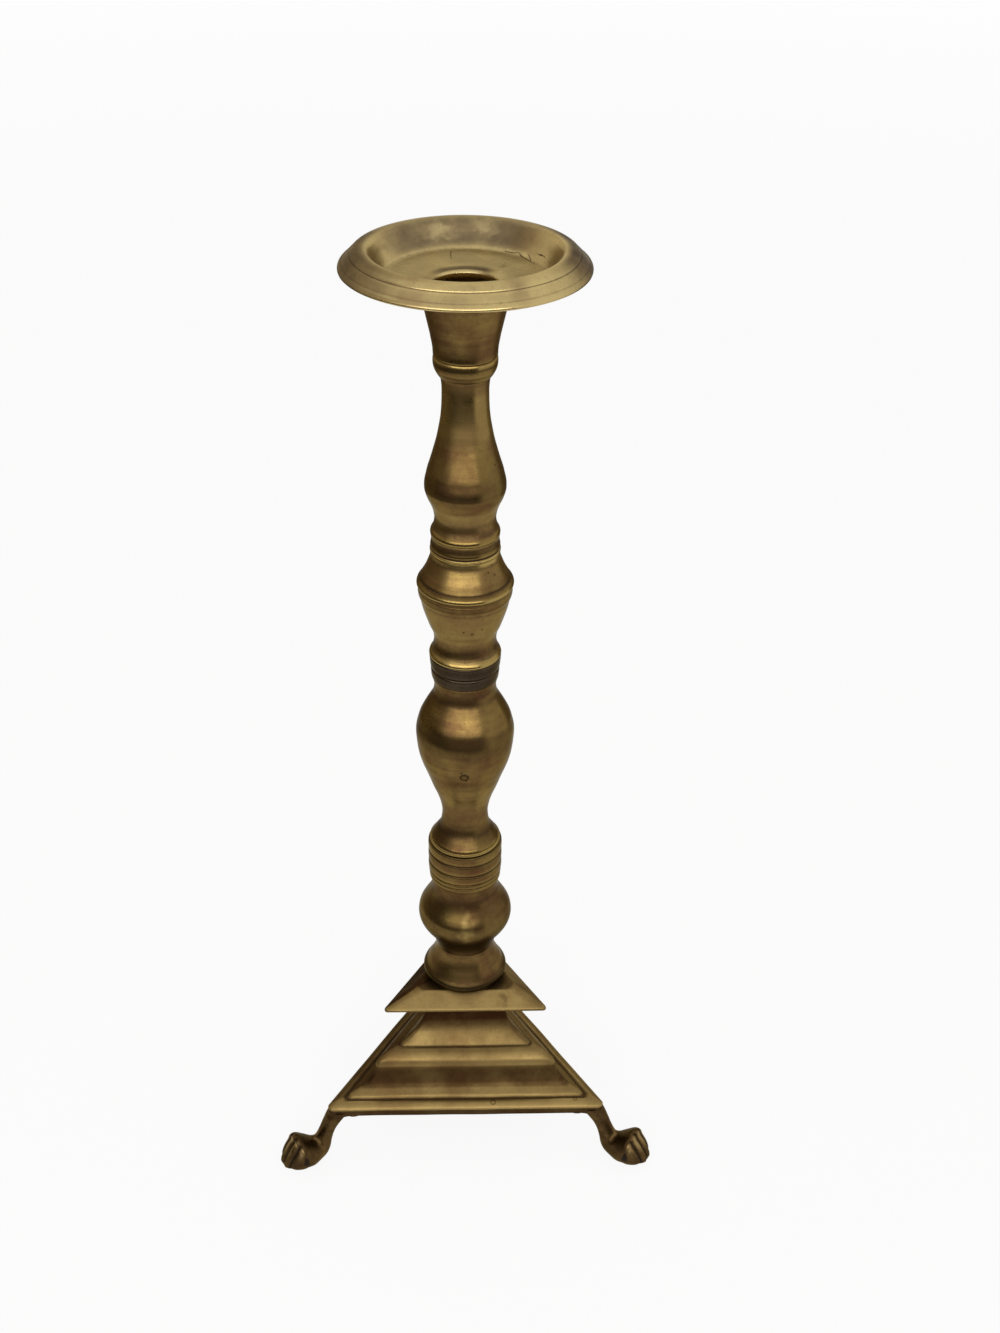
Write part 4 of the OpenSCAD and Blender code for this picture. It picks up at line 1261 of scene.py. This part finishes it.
@dataclass
class Studio:
    """The floor, the lamp, the cards and the camera of the photograph."""

    eye: Triple = (-7.56, -624.75, 649.8)
    heading: float = 0.0376
    pitch: float = 0.5608
    roll: float = 0.0144
    lens: float = 45.87
    shift: float = -0.0014
    # In metres: the floor's half width, and where it starts and ends to fade
    floor_size: float = 6.0
    fade: Pair = (0.9, 4.0)
    glow: float = 0.9
    soft_light: float = 0.6
    # The lamp: degrees to the right of the front, metres and watts
    lamp_turn: float = -6.0
    lamp_height: float = 0.82
    lamp_away: float = 1.5
    lamp_aim: float = 0.22
    lamp_size: Pair = (2.85, 0.5)
    lamp_power: float = 15.5

    def seen(self, tree: Tree) -> Socket:
        """Gives 1 on the rays that show the background and 0 on those that light the object.

        Args:
            tree: the node tree that the nodes go into.

        Returns:
            The socket with that value.
        """
        first, *others = (
            add(tree, "LightPath", out=ray)
            for ray in ("Is Camera Ray", "Is Glossy Ray", "Is Transmission Ray"))
        for ray in others:
            first = add(tree, "Math", {0: first, 1: ray}, operation="MAXIMUM")
        return first

    def floor(self) -> None:
        """Lays a pale floor that the camera sees as white but for the object's shadow."""
        bm = bmesh.new()
        bmesh.ops.create_grid(bm, x_segments=8, y_segments=8, size=self.floor_size)
        mat = bpy.data.materials.new("pale_floor")
        tree = cleared(mat)
        part = add(tree, "Math", {0: self.seen(tree), 1: self.glow}, operation="MULTIPLY")
        paint = add(tree, "BsdfDiffuse", {"Color": srgb("#f2f2f0")})
        glow = add(tree, "Emission", {"Color": (1, 1, 1, 1), "Strength": 1.0})
        both = add(tree, "MixShader", {0: part, 1: paint, 2: glow})
        # It is clear from below, so that the underside of the base shows, and far away, so
        # that no horizon does
        under = add(tree, "NewGeometry", out="Backfacing")
        where = add(tree, "TexCoord", out="Object")
        away = add(tree, "VectorMath", {0: where}, "Value", operation="LENGTH")
        far = add(tree, "MapRange", {
            "Value": away, "From Min": self.fade[0], "From Max": self.fade[1]},
            interpolation_type="SMOOTHSTEP")
        gone = add(tree, "Math", {0: under, 1: far}, operation="MAXIMUM")
        both = add(tree, "MixShader", {0: gone, 1: both, 2: add(tree, "BsdfTransparent")})
        add(tree, "OutputMaterial", {"Surface": both})
        ground = linked(bm, "floor", mat)

    def card(self, name: str, radius: float, height: float, span: Pair, tones: tuple[str, str]) -> None:
        """Stands a bent card near the object that only reflections see.

        Polished metal on a white ground needs such cards to get its dark bands and edges.

        Args:
            name: the card's name.
            radius: metres from the stem's axis.
            height: metres above the floor.
            span: where it starts and stops, in degrees to the right of the front.
            tones: its colour at the front and at the back.
        """
        bm = bmesh.new()
        bmesh.ops.create_cone(bm, cap_ends=False, segments=90, radius1=radius, radius2=radius, depth=height)
        middles = [(face, face.calc_center_median()) for face in bm.faces]
        outside = [face for face, at in middles
                   if (math.degrees(math.atan2(at.x, -at.y)) - span[0]) % 360 > span[1] - span[0]]
        bmesh.ops.delete(bm, geom=outside, context="FACES")
        bmesh.ops.translate(bm, verts=bm.verts, vec=STEM_AXIS + Vector((0, 0, height / 2)))
        mat = bpy.data.materials.new(name)
        tree = cleared(mat)
        place = add(tree, "SeparateXYZ", {"Vector": add(tree, "TexCoord", out="Object")}, "Y")
        back = add(tree, "MapRange", {"Value": place, "From Min": -0.35, "From Max": 0.15})
        tone = add(tree, "Mix", {0: back, 6: srgb(tones[0]), 7: srgb(tones[1])}, 2, data_type="RGBA")
        add(tree, "OutputMaterial", {"Surface": add(tree, "BsdfDiffuse", {"Color": tone})})
        card = linked(bm, name, mat)
        card.visible_camera = card.visible_diffuse = card.visible_shadow = False

    def world(self) -> None:
        """Sets a plain soft light from all round, white where it is seen directly."""
        world = bpy.data.worlds.new("studio")
        tree = cleared(world)
        power = add(tree, "MapRange", {"Value": self.seen(tree), "To Min": self.soft_light, "To Max": 1.0})
        light = add(tree, "Background", {"Color": (1, 1, 1, 1), "Strength": power})
        add(tree, "OutputWorld", {"Surface": light})
        bpy.context.scene.world = world

    def lamp(self) -> None:
        """Hangs the soft box that faces the stem."""
        data = bpy.data.lights.new("key_box", "AREA")
        data.shape = "RECTANGLE"
        data.size, data.size_y = self.lamp_size
        data.energy = self.lamp_power
        box = bpy.data.objects.new("key_box", data)
        turn = math.radians(self.lamp_turn)
        side = Vector((math.sin(turn), -math.cos(turn), 0)) * self.lamp_away
        box.location = STEM_AXIS + side + Vector((0, 0, self.lamp_height))
        aim = STEM_AXIS + Vector((0, 0, self.lamp_aim)) - box.location
        box.rotation_euler = aim.to_track_quat("-Z", "Y").to_euler()
        bpy.context.scene.collection.objects.link(box)

    def camera(self) -> None:
        """Sets the camera at the photograph's viewpoint."""
        data = bpy.data.cameras.new("photo_view")
        data.lens, data.sensor_width, data.shift_x = self.lens, 36.0, self.shift
        eye = bpy.data.objects.new("photo_view", data)
        h, p, r = self.heading, self.pitch, self.roll
        right = Vector((math.cos(h), -math.sin(h), 0))
        ahead = Vector((math.sin(h) * math.cos(p), math.cos(h) * math.cos(p), -math.sin(p)))
        up = right.cross(ahead)
        side = right * math.cos(r) + up * math.sin(r)
        top = up * math.cos(r) - right * math.sin(r)
        turn = Matrix((side, top, -ahead)).transposed().to_4x4()
        eye.matrix_world = Matrix.Translation(STEM_AXIS + Vector(self.eye) * MM) @ turn
        bpy.context.scene.collection.objects.link(eye)
        bpy.context.scene.camera = eye

    def build(self) -> None:
        """Builds the whole setting."""
        self.floor()
        self.world()
        self.card("low_card", 0.55, 0.33, (115, 405), ("#2a231a", "#a0947f"))
        self.card("side_card", 0.9, 1.3, (-172, -64), ("#efe6da", "#efe6da"))
        self.lamp()
        self.camera()
        bpy.context.scene.view_settings.view_transform = "Standard"


def main() -> None:
    """Builds the candlestick and its setting."""
    logging.basicConfig(level=logging.INFO, format="%(message)s")
    noise.seed_set(NOISE_SEED)
    made: dict[str, Material] = {}

    def dress(finish: AgedBrass | DullSteel) -> Material:
        """Gives a finish's material, made once.

        Args:
            finish: the finish.

        Returns:
            Its material.
        """
        if finish.name not in made:
            made[finish.name] = finish.material()
        return made[finish.name]

    Studio().build()
    DripPan().build(dress)
    Stem().build(dress)
    Base().build(dress)
    for node, angle in zip(("leg_front_left", "leg_front_right", "leg_back"), FOOT_ANGLES):
        PawFoot(node, angle).build(dress)
    for node in ("leg_screws", "tie_rod", "rod_washer", "rod_nut"):
        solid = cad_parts[node]
        solid.data.materials.clear()
        solid.data.materials.append(dress(STEEL))
        log.info("%s: kept, in %s", node, STEEL.name)


if __name__ == "__main__":
    main()
